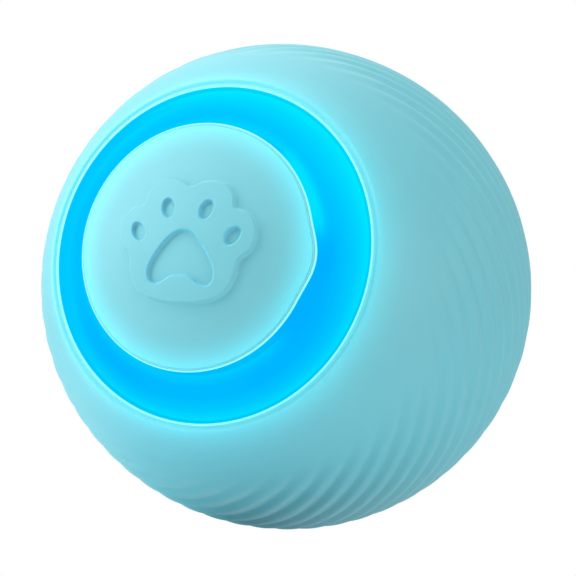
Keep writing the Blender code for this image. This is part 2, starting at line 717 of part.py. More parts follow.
def add_cap(name, side, has_tab):
    edge = CAP_RADIUS - CAP_EDGE_ROUND
    seat = height_on_sphere(RING_OUTER_RADIUS, CAP_RADIUS + SEAT_GAP) - CAP_SEAT_DEPTH + SEAT_GAP
    skirt_outer = CAP_RADIUS + SEAT_GAP - RING_NECK_WALL - SEAT_GAP
    skirt_inner = skirt_outer - CAP_SKIRT_WALL
    corner = CAP_EDGE_ROUND * (1 - math.sqrt(0.5))
    outside = dome_points(CAP_APEX_OUT, edge, DOME_SPANS)
    outside += [
        (CAP_RADIUS - corner, CAP_SHOULDER_OUT - corner),
        (CAP_RADIUS, CAP_SHOULDER_OUT - CAP_EDGE_ROUND),
        (CAP_RADIUS, seat),
        (skirt_outer, seat),
        (skirt_outer, seat - CAP_SKIRT_REACH),
        (skirt_inner, seat - CAP_SKIRT_REACH),
    ]
    inside = dome_points(CAP_APEX_OUT - CAP_WALL, skirt_inner, 2)
    cap = turned_piece(name, outside + inside[::-1], aqua_rubber, side, closed=False)
    add_paw(name, cap, side)
    if has_tab:
        add_tab(name, cap, side)
    shade_round(cap)


def add_bearing(name, side):
    wall_in = END_WALL_OUT - END_WALL_THICKNESS
    flange_high = wall_in - SEAT_GAP
    outer = BEARING_INNER_RADIUS + BEARING_WALL
    bearing = turned_piece(name, [
        (outer, END_WALL_OUT), (outer, flange_high), (BEARING_FLANGE_RADIUS, flange_high),
        (BEARING_FLANGE_RADIUS, flange_high - BEARING_FLANGE),
        (BEARING_INNER_RADIUS, flange_high - BEARING_FLANGE), (BEARING_INNER_RADIUS, END_WALL_OUT),
    ], white_plastic, side, BORE_STEPS)
    shade_round(bearing)


def screw(name, side, at, head_base, length, head_up=True):
    """A screw whose head stands on head_base. The head points out, or in where head_up is False."""
    points = [
        (0, SCREW_HEAD), (SCREW_HEAD_RADIUS, SCREW_HEAD), (SCREW_HEAD_RADIUS, 0),
        (SCREW_RADIUS, 0), (SCREW_RADIUS, -length), (0, -length),
    ]
    obj = turned_piece(name, points, steel, side, SCREW_STEPS, closed=False, location=(*at, head_base))
    if not head_up:
        obj.rotation_euler = (math.pi, 0, 0)
    return obj


def gear_screw_places():
    turns = [math.pi / 2 + 2 * math.pi * i / GEAR_SCREW_COUNT for i in range(GEAR_SCREW_COUNT)]
    return [(GEAR_SCREW_CIRCLE * math.cos(t), GEAR_SCREW_CIRCLE * math.sin(t)) for t in turns]


def add_ring_gear():
    low, high = RING_GEAR_OUT, RING_GEAR_OUT + RING_GEAR_WIDTH
    outlines = [
        circle(RING_GEAR_BODY_RADIUS, steps=ROUND_STEPS),
        internal_gear(RING_TEETH, RING_MODULE, -math.pi / 2),
    ]
    outlines += [circle(SCREW_RADIUS + SEAT_GAP, at, SCREW_STEPS) for at in gear_screw_places()]
    add_piece("ring_gear", flat_plate("ring_gear", outlines, low, high), white_plastic, rear)
    for number, at in enumerate(gear_screw_places(), 1):
        length = SEAT_GAP + RING_GEAR_WIDTH + PLATE_THICKNESS
        screw(f"ring_gear_screw_{number}", rear, at, low - SEAT_GAP, length, head_up=False)


def idler_y():
    """The compound gear's axis lies straight below the ball's."""
    return -RING_MODULE * (RING_TEETH - IDLER_SMALL_TEETH) / 2


def motor_y():
    return idler_y() + PINION_MODULE * (IDLER_LARGE_TEETH + PINION_TEETH) / 2


def add_compound_gear():
    low = LARGE_GEAR_OUT
    high = low + LARGE_GEAR_WIDTH
    small_low = low + LARGE_GEAR_WIDTH / 2
    small_high = RING_GEAR_OUT + RING_GEAR_WIDTH - SEAT_GAP
    large = flat_plate(
        "compound_gear", [external_gear(IDLER_LARGE_TEETH, PINION_MODULE, math.pi / 2, straight=True)],
        low, high)
    gear = add_piece("compound_gear", large, white_plastic, idler_axis)
    small = flat_plate(
        "small_gear", [external_gear(IDLER_SMALL_TEETH, RING_MODULE, -math.pi / 2)], small_low, small_high)
    combine(gear, add_cutter("small_gear", small, idler_axis), "UNION")
    bore = rods("bore", [(0, 0)], IDLER_PIN_RADIUS + SEAT_GAP, low - CUT_OVERRUN, small_high + CUT_OVERRUN)
    combine(gear, add_cutter("idler_bore", bore, idler_axis), "DIFFERENCE")


def add_idler_pin():
    """The steel pin is pressed into the motor plate and carries the compound gear."""
    high = RING_GEAR_OUT + RING_GEAR_WIDTH
    pin = rods("idler_pin", [(0, 0)], IDLER_PIN_RADIUS, MOTOR_PLATE_OUT, high)
    add_piece("idler_pin", pin, steel, drive_rear, (0, idler_y(), 0))


def add_motor():
    high = MOTOR_PLATE_OUT - SEAT_GAP
    low = high - MOTOR_LENGTH
    at = (0, motor_y(), 0)
    can = rods("motor", [(0, 0)], MOTOR_RADIUS, low, high, BORE_STEPS)
    motor = add_piece("motor", can, steel, drive_rear, at)
    reach = MOTOR_RADIUS + CUT_OVERRUN
    flats = block("motor_flats", (-reach, -MOTOR_HALF_HEIGHT, low - CUT_OVERRUN),
                  (reach, MOTOR_HALF_HEIGHT, high + CUT_OVERRUN))
    combine(motor, add_cutter("motor_flats", flats, drive_rear, at), "INTERSECT")
    boss = rods("motor_boss", [(0, 0)], MOTOR_BOSS_RADIUS, high - MOTOR_BOSS, high + MOTOR_BOSS)
    combine(motor, add_cutter("motor_boss", boss, drive_rear, at), "UNION")
    tail = rods("motor_tail", [(0, 0)], MOTOR_BOSS_RADIUS, low - MOTOR_BOSS, low + MOTOR_BOSS)
    combine(motor, add_cutter("motor_tail", tail, drive_rear, at), "UNION")
    holes = rods("motor_holes", [(-MOTOR_SCREW_X, 0), (MOTOR_SCREW_X, 0)], SCREW_RADIUS + SEAT_GAP,
                 high - 2 * SCREW_HEAD, high + CUT_OVERRUN, SCREW_STEPS)
    combine(motor, add_cutter("motor_holes", holes, drive_rear, at), "DIFFERENCE")
    shade_round(motor)
    head_base = MOTOR_PLATE_OUT + PLATE_THICKNESS + SEAT_GAP
    length = head_base - high + SCREW_HEAD
    for number, x in enumerate((-MOTOR_SCREW_X, MOTOR_SCREW_X), 1):
        screw(f"motor_screw_{number}", drive_rear, (x, motor_y()), head_base, length)


def add_pinion():
    low = LARGE_GEAR_OUT
    high = low + LARGE_GEAR_WIDTH
    space_aim = -math.pi / 2 + math.pi / PINION_TEETH
    outlines = [
        external_gear(PINION_TEETH, PINION_MODULE, space_aim),
        circle(MOTOR_SHAFT_RADIUS + SEAT_GAP, steps=SCREW_STEPS),
    ]
    add_piece("motor_pinion", flat_plate("motor_pinion", outlines, low, high), brass, pinion_axis)
    shaft_low = MOTOR_PLATE_OUT + MOTOR_BOSS
    shaft = rods("motor_shaft", [(0, 0)], MOTOR_SHAFT_RADIUS, shaft_low, high, SCREW_STEPS)
    add_piece("motor_shaft", shaft, steel, pinion_axis)


def on_both_sides(shares):
    """A place given as shares of the plates' radius, and its mirror image."""
    x, y = (share * PLATE_RADIUS for share in shares)
    return [(-x, y), (x, y)]


def rear_post_places():
    return on_both_sides(SIDE_POST_SHARES) + [(0, TOP_POST_SHARE * PLATE_RADIUS)]


def cradle_screw_places():
    return on_both_sides(CRADLE_SCREW_SHARES)


def pillar_places():
    return on_both_sides(PILLAR_SHARES)


def front_plate_in():
    """The inner face of the front plate, whose outer face carries the front light board."""
    return HUB_OUT - PLATE_DROP - PLATE_THICKNESS


def add_motor_plate():
    low, high = MOTOR_PLATE_OUT, MOTOR_PLATE_OUT + PLATE_THICKNESS
    hole = SCREW_RADIUS + SEAT_GAP
    mesh = rods("motor_plate", [(0, 0)], PLATE_RADIUS, low, high, BORE_STEPS)
    plate = add_piece("motor_plate", mesh, frame_plastic, drive_rear)
    pillar_low = SEAT_GAP - front_plate_in()
    pillars = rods("pillars", pillar_places(), PILLAR_RADIUS, pillar_low, high - PLATE_THICKNESS / 2)
    combine(plate, add_cutter("pillars", pillars, drive_rear), "UNION")
    motor_screws = [(-MOTOR_SCREW_X, motor_y()), (MOTOR_SCREW_X, motor_y())]
    cuts = (
        ("pillar_holes", pillar_places(), hole, SCREW_STEPS, pillar_low + PILLAR_SCREW_REACH),
        ("plate_screw_holes", motor_screws + rear_post_places() + cradle_screw_places(), hole,
         SCREW_STEPS, high + CUT_OVERRUN),
        ("lead_hole", light_lead_places()[:1], LEAD_RADIUS + EASY_GAP, SCREW_STEPS, high + CUT_OVERRUN),
        ("boss_hole", [(0, motor_y())], MOTOR_BOSS_RADIUS + SEAT_GAP, SMALL_STEPS, high + CUT_OVERRUN),
        ("pin_hole", [(0, idler_y())], IDLER_PIN_RADIUS + SEAT_GAP, SMALL_STEPS, high + CUT_OVERRUN),
    )
    for name, places, radius, steps, top in cuts:
        base = pillar_low if name == "pillar_holes" else low
        cutter = rods(name, places, radius, base - CUT_OVERRUN, top, steps)
        combine(plate, add_cutter(name, cutter, drive_rear), "DIFFERENCE")
    for number, at in enumerate(cradle_screw_places(), 1):
        length = SEAT_GAP + PLATE_THICKNESS + SEAT_GAP + CRADLE_WALL
        screw(f"motor_plate_screw_{number}", drive_rear, at, high + SEAT_GAP, length)


def hub_shoulder_points():
    """The hub's end face, its journal and the shoulder that carries a light board."""
    return [
        (HUB_RADIUS, HUB_OUT),
        (HUB_RADIUS, led_board_high() - BOARD_LIP),
        (HUB_SHOULDER_RADIUS, led_board_high() - BOARD_LIP),
        (HUB_SHOULDER_RADIUS, led_board_low() - SEAT_GAP),
    ]


def led_board_low():
    return HUB_OUT - PLATE_DROP + SEAT_GAP


def led_board_high():
    return led_board_low() + BOARD_THICKNESS


def add_rear_plate():
    low, high = REAR_PLATE_OUT, REAR_PLATE_OUT + PLATE_THICKNESS
    flange_high = led_board_low() - SEAT_GAP
    points = [(0, HUB_OUT)] + hub_shoulder_points() + [
        (REAR_FLANGE_RADIUS, flange_high),
        (REAR_FLANGE_RADIUS, flange_high - REAR_FLANGE),
        (REAR_NECK_RADIUS, flange_high - REAR_FLANGE),
        (REAR_NECK_RADIUS, high),
        (PLATE_RADIUS, high),
        (PLATE_RADIUS, low),
        (REAR_BORE, low),
        (REAR_BORE, HUB_OUT - 2 * HUB_FACE),
        (0, HUB_OUT - 2 * HUB_FACE),
    ]
    plate = turned_piece("rear_plate", points, frame_plastic, drive_rear, BORE_STEPS, closed=False)
    gear_hole = RING_MODULE * (IDLER_SMALL_TEETH / 2 + 1) + EASY_GAP
    hole = rods("gear_hole", [(0, idler_y())], gear_hole, low - CUT_OVERRUN, high + CUT_OVERRUN, BORE_STEPS)
    combine(plate, add_cutter("gear_hole", hole, drive_rear), "DIFFERENCE")
    post_low = MOTOR_PLATE_OUT + PLATE_THICKNESS + SEAT_GAP
    posts = rods("posts", rear_post_places(), POST_RADIUS, post_low, low + PLATE_THICKNESS / 2)
    combine(plate, add_cutter("posts", posts, drive_rear), "UNION")
    holes = rods("post_holes", rear_post_places(), SCREW_RADIUS + SEAT_GAP, post_low - CUT_OVERRUN,
                 high + CUT_OVERRUN, SCREW_STEPS)
    combine(plate, add_cutter("post_holes", holes, drive_rear), "DIFFERENCE")
    lead_hole = rods("rear_lead_hole", light_lead_places()[:1], LEAD_RADIUS + EASY_GAP,
                     low - CUT_OVERRUN, flange_high + SEAT_GAP, SCREW_STEPS)
    combine(plate, add_cutter("rear_lead_hole", lead_hole, drive_rear), "DIFFERENCE")
    shade_round(plate)
    for number, at in enumerate(rear_post_places(), 1):
        length = high + SEAT_GAP - MOTOR_PLATE_OUT
        screw(f"rear_plate_screw_{number}", drive_rear, at, high + SEAT_GAP, length)


def add_front_plate():
    low, high = front_plate_in(), front_plate_in() + PLATE_THICKNESS
    points = [(0, HUB_OUT)] + hub_shoulder_points() + [
        (PLATE_RADIUS, high),
        (PLATE_RADIUS, low),
        (HUB_BORE, low),
        (HUB_BORE, HUB_OUT - HUB_FACE),
        (0, HUB_OUT - HUB_FACE),
    ]
    plate = turned_piece("front_plate", points, frame_plastic, drive_front, BORE_STEPS, closed=False)
    half_width, half_height = PORT_WIDTH / 2 + SEAT_GAP, PORT_HEIGHT / 2 + SEAT_GAP
    slot = block("port_slot", (-half_width, PORT_Y - half_height, HUB_OUT - HUB_FACE - CUT_OVERRUN),
                 (half_width, PORT_Y + half_height, HUB_OUT + CUT_OVERRUN))
    combine(plate, add_cutter("port_slot", slot, drive_front), "DIFFERENCE")
    button_hole = rods("button_hole", [(0, BUTTON_Y)], BUTTON_RADIUS + SEAT_GAP,
                       HUB_OUT - HUB_FACE - CUT_OVERRUN, HUB_OUT + CUT_OVERRUN)
    combine(plate, add_cutter("button_hole", button_hole, drive_front), "DIFFERENCE")
    posts = rods("board_posts", board_screw_places(), POST_RADIUS,
                 MAIN_BOARD_OUT + MAIN_BOARD_THICKNESS + SEAT_GAP, low + PLATE_THICKNESS / 2)
    combine(plate, add_cutter("board_posts", posts, drive_front), "UNION")
    board_holes = rods("board_holes", board_screw_places(), SCREW_RADIUS + SEAT_GAP,
                       MAIN_BOARD_OUT, low + PLATE_THICKNESS / 2, SCREW_STEPS)
    combine(plate, add_cutter("board_holes", board_holes, drive_front), "DIFFERENCE")
    places = pillar_places() + cradle_screw_places()
    holes = rods("plate_holes", places + light_lead_places()[:1], SCREW_RADIUS + SEAT_GAP,
                 low - CUT_OVERRUN, high + CUT_OVERRUN, SCREW_STEPS)
    combine(plate, add_cutter("plate_holes", holes, drive_front), "DIFFERENCE")
    head_base = high - SCREW_HEAD - BOARD_LIP
    sinks = rods("plate_sinks", places, SCREW_HEAD_RADIUS + SEAT_GAP, head_base - SEAT_GAP,
                 high + CUT_OVERRUN, SCREW_STEPS)
    combine(plate, add_cutter("plate_sinks", sinks, drive_front), "DIFFERENCE")
    shade_round(plate)
    for number, at in enumerate(places, 1):
        length = head_base - low + SEAT_GAP + CRADLE_WALL
        screw(f"front_plate_screw_{number}", drive_front, at, head_base, length)


def board_screw_places():
    return on_both_sides(BOARD_SCREW_SHARES)


def add_led_board(name, side):
    low, high = led_board_low(), led_board_high()
    outlines = [
        circle(PLATE_RADIUS),
        circle(HUB_SHOULDER_RADIUS + SEAT_GAP),
    ]
    board = add_piece(name, flat_plate(name, outlines, low, high), board_green, side)
    for number in range(LED_COUNT):
        angle = 2 * math.pi * (number + 0.5) / LED_COUNT
        centre = (LED_CIRCLE * math.cos(angle), LED_CIRCLE * math.sin(angle), 0)
        led = block("led", (-LED_SIDE / 2, -LED_SIDE / 2, high - BOARD_THICKNESS / 2),
                    (LED_SIDE / 2, LED_SIDE / 2, high + LED_HEIGHT))
        cutter = add_cutter(f"{name}_led_{number}", led, side, centre)
        cutter.rotation_euler = (0, 0, angle)
        combine(board, cutter, "UNION")


def cradle_shape(name, radius, half_width, low, high, top):
    """The part of a ball below a top, between two places along the axis and two sides."""
    shape = add_cutter(name, ball(name, radius, BORE_STEPS), drive_front)
    box = block(name + "_box", (-half_width, -radius - CUT_OVERRUN, low), (half_width, top, high))
    combine(shape, add_cutter(name + "_box", box, drive_front), "INTERSECT")
    return shape


def cradle_ends():
    """Where the cradle starts behind the front plate and ends at the motor plate."""
    return SEAT_GAP - MOTOR_PLATE_OUT, front_plate_in() - SEAT_GAP


def add_cradle():
    low, high = cradle_ends()
    radius = CRADLE_RADIUS
    cradle = add_piece("cradle", ball("cradle", radius, BORE_STEPS), frame_plastic, drive_front)
    box = block("cradle_box", (-CRADLE_HALF_WIDTH, -radius - CUT_OVERRUN, low),
                (CRADLE_HALF_WIDTH, CRADLE_TOP, high))
    combine(cradle, add_cutter("cradle_box", box, drive_front), "INTERSECT")
    cavity = cradle_shape("cradle_cavity", radius - CRADLE_WALL, CRADLE_HALF_WIDTH - CRADLE_WALL,
                          low + CRADLE_WALL, high - CRADLE_WALL, CRADLE_TOP + CUT_OVERRUN)
    combine(cradle, cavity, "DIFFERENCE")
    holes = rods("cradle_holes", cradle_screw_places(), SCREW_RADIUS + SEAT_GAP,
                 low - CUT_OVERRUN, high + CUT_OVERRUN, SCREW_STEPS)
    combine(cradle, add_cutter("cradle_holes", holes, drive_front), "DIFFERENCE")
    shade_round(cradle)


def add_ballast():
    low, high = cradle_ends()
    gap = CRADLE_WALL + SEAT_GAP
    whole = ball("ballast", CRADLE_RADIUS - gap, BORE_STEPS)
    ballast = add_piece("ballast_weight", whole, steel, drive_front)
    box = block("ballast_box", (-BALLAST_HALF_WIDTH, -CRADLE_RADIUS, low + gap),
                (BALLAST_HALF_WIDTH, BALLAST_TOP, high - gap))
    combine(ballast, add_cutter("ballast_box", box, drive_front), "INTERSECT")
    shade_round(ballast)


def add_battery():
    low, high = cradle_ends()
    gap = CRADLE_WALL + SEAT_GAP
    base = BALLAST_TOP + SEAT_GAP
    mesh = block("battery", (-BATTERY_HALF_WIDTH, base, low + gap),
                 (BATTERY_HALF_WIDTH, base + BATTERY_HEIGHT, high - gap))
    battery = add_piece("battery", mesh, battery_wrap, drive_front)
    bevel = battery.modifiers.new("round", "BEVEL")
    bevel.width = BATTERY_ROUND
    shade_round(battery)


def add_main_board():
    low, high = MAIN_BOARD_OUT, MAIN_BOARD_OUT + MAIN_BOARD_THICKNESS
    board = add_piece("main_board", rods("main_board", [(0, 0)], MAIN_BOARD_RADIUS, low, high, BORE_STEPS),
                      board_green, drive_front)
    reach = MAIN_BOARD_RADIUS + CUT_OVERRUN
    below = block("board_below", (-reach, -reach, low - CUT_OVERRUN),
                  (reach, MAIN_BOARD_BOTTOM, high + CUT_OVERRUN))
    combine(board, add_cutter("board_below", below, drive_front), "DIFFERENCE")
    holes = rods("main_board_holes", board_screw_places(), SCREW_RADIUS + SEAT_GAP, low - CUT_OVERRUN,
                 high + CUT_OVERRUN, SCREW_STEPS)
    combine(board, add_cutter("main_board_holes", holes, drive_front), "DIFFERENCE")
    for number, x in enumerate((-CHIP_X, CHIP_X)):
        chip = block("chip", (x - CHIP_SIDE / 2, CHIP_Y - CHIP_SIDE / 2, low - CHIP_HEIGHT),
                     (x + CHIP_SIDE / 2, CHIP_Y + CHIP_SIDE / 2, low + MAIN_BOARD_THICKNESS / 2))
        combine(board, add_cutter(f"chip_{number}", chip, drive_front), "UNION")
    for number, at in enumerate(board_screw_places(), 1):
        length = SEAT_GAP + MAIN_BOARD_THICKNESS + SEAT_GAP + PLATE_THICKNESS
        screw(f"board_screw_{number}", drive_front, at, low - SEAT_GAP, length, head_up=False)


def board_face():
    return MAIN_BOARD_OUT + MAIN_BOARD_THICKNESS + SEAT_GAP


def add_port():
    """The charging socket stands on the main board and reaches through the hub's face."""
    high = HUB_OUT - SEAT_GAP
    half_width, half_height = PORT_WIDTH / 2, PORT_HEIGHT / 2
    shell = block("charging_port", (-half_width, PORT_Y - half_height, board_face()),
                  (half_width, PORT_Y + half_height, high))
    port = add_piece("charging_port", shell, steel, drive_front)
    bevel = port.modifiers.new("round", "BEVEL")
    bevel.width = PORT_HEIGHT / 4
    bevel.limit_method = "ANGLE"
    inner_width, inner_height = half_width - PORT_WALL, half_height - PORT_WALL
    mouth = add_cutter("port_mouth", block(
        "port_mouth", (-inner_width, PORT_Y - inner_height, high - PORT_DEPTH),
        (inner_width, PORT_Y + inner_height, high + CUT_OVERRUN)), drive_front)
    tongue = block("port_tongue", (-PORT_TONGUE_WIDTH / 2, PORT_Y - PORT_TONGUE / 2, board_face()),
                   (PORT_TONGUE_WIDTH / 2, PORT_Y + PORT_TONGUE / 2, high - SCREW_HEAD))
    combine(mouth, add_cutter("port_tongue", tongue, drive_front), "DIFFERENCE")
    combine(port, mouth, "DIFFERENCE")


def add_switch():
    half = SWITCH_SIDE / 2
    top = board_face() + SWITCH_HEIGHT
    body = block("power_switch", (-half, BUTTON_Y - half, board_face()), (half, BUTTON_Y + half, top))
    switch = add_piece("power_switch", body, black_plastic, drive_front)
    plunger = rods("plunger", [(0, BUTTON_Y)], SWITCH_PLUNGER_RADIUS, top - SCREW_HEAD, top + BUTTON_TRAVEL)
    combine(switch, add_cutter("plunger", plunger, drive_front), "UNION")


def add_button():
    flange_high = HUB_OUT - HUB_FACE - SEAT_GAP
    low = board_face() + SWITCH_HEIGHT + 2 * BUTTON_TRAVEL + SEAT_GAP
    button = turned_piece("power_button", [
        (0, HUB_OUT + BUTTON_PROUD),
        (BUTTON_RADIUS - SEAT_GAP, HUB_OUT + BUTTON_PROUD),
        (BUTTON_RADIUS, HUB_OUT + BUTTON_PROUD - SEAT_GAP),
        (BUTTON_RADIUS, flange_high),
        (BUTTON_FLANGE_RADIUS, flange_high),
        (BUTTON_FLANGE_RADIUS, flange_high - BUTTON_FLANGE),
        (SWITCH_PLUNGER_RADIUS, flange_high - BUTTON_FLANGE),
        (SWITCH_PLUNGER_RADIUS, low),
        (0, low),
    ], white_plastic, drive_front, SMALL_STEPS, closed=False, location=(0, BUTTON_Y, 0))
    shade_round(button)


def add_lead(name, points, material):
    """A pair of wires in one jacket, as a bent round tube."""
    curve = bpy.data.curves.new(name, "CURVE")
    curve.dimensions = "3D"
    curve.bevel_depth = LEAD_RADIUS
    curve.bevel_resolution = 1
    curve.use_fill_caps = True
    spline = curve.splines.new("POLY")
    spline.points.add(len(points) - 1)
    for point, place in zip(spline.points, points):
        point.co = (*place, 1)
    add_piece(name, curve, material, drive_front)


def light_lead_places():
    return on_both_sides(LIGHT_LEAD_SHARES)


def add_leads():
    board_back = MAIN_BOARD_OUT - SEAT_GAP
    motor_back = MOTOR_LENGTH + SEAT_GAP + SEAT_GAP - MOTOR_PLATE_OUT
    battery_top = BALLAST_TOP + SEAT_GAP + BATTERY_HEIGHT + SEAT_GAP
    front_at, rear_at = light_lead_places()
    light_end = led_board_low() - SEAT_GAP
    add_lead("front_light_lead", [(*front_at, board_face()), (*front_at, light_end)], red_jacket)
    add_lead("rear_light_lead", [(*rear_at, board_back), (*rear_at, -light_end)], red_jacket)
    add_lead("battery_lead", [
        (BATTERY_LEAD_X, battery_top, board_back - BATTERY_LEAD_DROP),
        (BATTERY_LEAD_X, BATTERY_LEAD_Y, board_back - BATTERY_LEAD_DROP),
        (BATTERY_LEAD_X, BATTERY_LEAD_Y, board_back),
    ], red_jacket)
    add_lead("motor_lead", [
        (MOTOR_LEAD_X, motor_y(), motor_back),
        (MOTOR_LEAD_X, motor_y(), motor_back + (board_back - motor_back) * MOTOR_LEAD_BEND_SHARE),
        (MOTOR_LEAD_X, MOTOR_LEAD_Y, board_back),
    ], red_jacket)


clear_scene()
parts = new_collection("rolling_ball_toy")
cutters = new_collection("cutters")

aqua_rubber = finish("aqua_rubber", (0.20, 0.62, 0.68), 0.55)
black_rubber = finish("black_rubber", (0.03, 0.03, 0.03), 0.7)
shell_plastic = finish("shell_plastic", (0.75, 0.80, 0.82), 0.45)
light_plastic = finish("light_plastic", (0.05, 0.60, 1.0), 0.3, glow=1.0)
white_plastic = finish("white_plastic", (0.85, 0.85, 0.82), 0.4)
frame_plastic = finish("frame_plastic", (0.12, 0.12, 0.13), 0.5)
black_plastic = finish("black_plastic", (0.02, 0.02, 0.02), 0.4)
board_green = finish("board_green", (0.02, 0.16, 0.08), 0.5)
battery_wrap = finish("battery_wrap", (0.10, 0.25, 0.55), 0.35)
steel = finish("steel", (0.62, 0.62, 0.64), 0.35, 1.0)
red_jacket = finish("red_jacket", (0.55, 0.05, 0.05), 0.5)
brass = finish("brass", (0.75, 0.55, 0.22), 0.3, 1.0)

FRONT_TURN = (math.pi / 2, 0, 0)
REAR_TURN = (math.pi / 2, 0, math.pi)
front = add_frame("front_side", rotation=FRONT_TURN)
rear = add_frame("rear_side", rotation=REAR_TURN)
drive_axis = add_frame("drive_axis")
drive_front = add_frame("drive_front", rotation=FRONT_TURN, parent=drive_axis)
drive_rear = add_frame("drive_rear", rotation=REAR_TURN, parent=drive_axis)
idler_axis = add_frame("idler_axis", location=(0, idler_y(), 0), parent=drive_rear)
pinion_axis = add_frame("pinion_axis", location=(0, motor_y(), 0), parent=drive_rear)

add_sleeve()
add_shell("shell_front", front, is_front=True)
add_shell("shell_rear", rear, is_front=False)
add_seal()
for word, end in (("front", front), ("rear", rear)):
    add_light_ring("light_ring_" + word, end)
    add_bearing("bearing_" + word, end)
add_cap("front_cap", front, has_tab=True)
add_cap("rear_cap", rear, has_tab=False)
add_ring_gear()

add_motor_plate()
add_rear_plate()
add_front_plate()
add_led_board("led_board_front", drive_front)
add_led_board("led_board_rear", drive_rear)
add_cradle()
add_ballast()
add_battery()
add_motor()
add_idler_pin()
add_main_board()
add_port()
add_switch()
add_leads()
add_compound_gear()
add_pinion()
add_button()
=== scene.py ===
# Self-rolling ball toy for a dog: the looks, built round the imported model.
# Metres, the ball rolls about Y. The charging side faces -Y, and each side of the ball
# is described by places (radius from the axis, how far out along it).

import math

import bpy
import numpy as np
from mathutils import Matrix, Vector


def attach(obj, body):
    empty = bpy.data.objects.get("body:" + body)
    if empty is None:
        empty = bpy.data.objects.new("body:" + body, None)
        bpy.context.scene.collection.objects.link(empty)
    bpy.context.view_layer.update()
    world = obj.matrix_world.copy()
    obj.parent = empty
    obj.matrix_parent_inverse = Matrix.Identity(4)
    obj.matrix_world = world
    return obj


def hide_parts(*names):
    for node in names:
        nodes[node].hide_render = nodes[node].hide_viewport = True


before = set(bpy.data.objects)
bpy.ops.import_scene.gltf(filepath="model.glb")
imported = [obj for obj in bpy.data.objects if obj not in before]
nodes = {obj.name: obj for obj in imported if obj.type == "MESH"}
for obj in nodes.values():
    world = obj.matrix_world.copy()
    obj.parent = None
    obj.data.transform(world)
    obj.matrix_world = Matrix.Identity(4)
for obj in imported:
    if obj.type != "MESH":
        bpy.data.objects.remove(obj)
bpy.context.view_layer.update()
frontSide = -1
print("frame loaded with", len(nodes), "nodes")


# Small tools for modelling

def deselectAll():
    if bpy.context.object and bpy.context.object.mode != "OBJECT":
        bpy.ops.object.mode_set(mode="OBJECT")
    bpy.ops.object.select_all(action="DESELECT")


def pick(piece):
    deselectAll()
    piece.select_set(True)
    bpy.context.view_layer.objects.active = piece


def smoothStep(value):
    value = np.clip(value, 0, 1)
    return value * value * (3 - 2 * value)


def outOnBall(ballRadius, radius):
    return math.sqrt(ballRadius**2 - radius**2)


def ballArc(ballRadius, firstPolar, lastPolar, count):
    # points (radius, out) on a sphere round the ball's centre
    polars = [firstPolar + (lastPolar - firstPolar) * i / (count - 1) for i in range(count)]
    return [(ballRadius * math.sin(p), ballRadius * math.cos(p)) for p in polars]


def rounded(corners, arcPoints=5):
    # a closed section from (radius, out, how round) corners
    section = []
    for i, (radius, out, bend) in enumerate(corners):
        here = Vector((radius, out))
        if bend == 0:
            section.append((radius, out))
            continue
        before = Vector(corners[i - 1][:2]) - here
        after = Vector(corners[(i + 1) % len(corners)][:2]) - here
        reach = min(bend, before.length * 0.45, after.length * 0.45)
        start = here + before.normalized() * reach
        end = here + after.normalized() * reach
        for step in range(arcPoints):
            t = step / (arcPoints - 1)
            section.append(tuple(start * (1 - t) ** 2 + here * (2 * t * (1 - t)) + end * t**2))
    return section


def spinSection(name, section, side, steps, meetsAxis=False):
    # the section is drawn as a ring of points, and spun a full turn round the ball's axis
    deselectAll()
    bpy.ops.mesh.primitive_circle_add(vertices=len(section), radius=0.01)
    piece = bpy.context.object
    piece.name = piece.data.name = name
    for vertex, (radius, out) in zip(piece.data.vertices, section):
        vertex.co = (radius, side * out, 0)
        vertex.select = False
    if meetsAxis:  # the edge along the axis goes, so that the spin leaves no folded faces
        for edge in piece.data.edges:
            edge.select = set(edge.vertices) == {0, len(section) - 1}
        piece.data.vertices[0].select = piece.data.vertices[len(section) - 1].select = True
        bpy.ops.object.mode_set(mode="EDIT")
        bpy.ops.mesh.delete(type="EDGE")
    else:
        bpy.ops.object.mode_set(mode="EDIT")
    bpy.ops.mesh.select_all(action="SELECT")
    wedge = 2 * math.pi / 8
    bpy.ops.mesh.spin(steps=steps // 8, angle=wedge, center=(0, 0, 0), axis=(0, 1, 0))
    for doubling in range(3):       # an eighth of the turn is doubled three times
        bpy.ops.mesh.select_all(action="SELECT")
        bpy.ops.mesh.duplicate()
        bpy.ops.transform.rotate(value=wedge * 2**doubling, orient_axis="Y", center_override=(0, 0, 0))
    bpy.ops.mesh.select_all(action="SELECT")
    bpy.ops.mesh.remove_doubles(threshold=0.000001)
    bpy.ops.mesh.dissolve_degenerate(threshold=0.0000005)
    bpy.ops.mesh.select_all(action="SELECT")
    bpy.ops.mesh.normals_make_consistent(inside=False)
    bpy.ops.object.mode_set(mode="OBJECT")
    return piece


def copyTurned(piece, name):
    # the same piece for the rear, turned half round the upright axis
    twin = piece.copy()
    twin.data = piece.data.copy()
    twin.name = twin.data.name = name
    twin.data.transform(Matrix.Rotation(math.pi, 4, "Z"))
    bpy.context.scene.collection.objects.link(twin)
    return twin


def smooth(piece, degrees=40):
    pick(piece)
    bpy.ops.object.shade_smooth_by_angle(angle=math.radians(degrees))


def readPoints(piece):
    points = np.zeros(len(piece.data.vertices) * 3)
    piece.data.vertices.foreach_get("co", points)
    return points.reshape(-1, 3)


def writePoints(piece, points):
    piece.data.vertices.foreach_set("co", points.ravel())
    piece.data.update()


def dress(piece, material, body, slot, *replaced):
    piece.data.materials.clear()
    piece.data.materials.append(material)
    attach(piece, body)
    if replaced:
        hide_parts(*replaced)
    return piece


# Small tools for materials

def linkNodes(tree, *pairs):
    for source, target in pairs:
        tree.links.new(source, target)


def addNode(tree, kind, **settings):
    node = tree.nodes.new("ShaderNode" + kind)
    for name, value in settings.items():
        setattr(node, name, value)
    return node


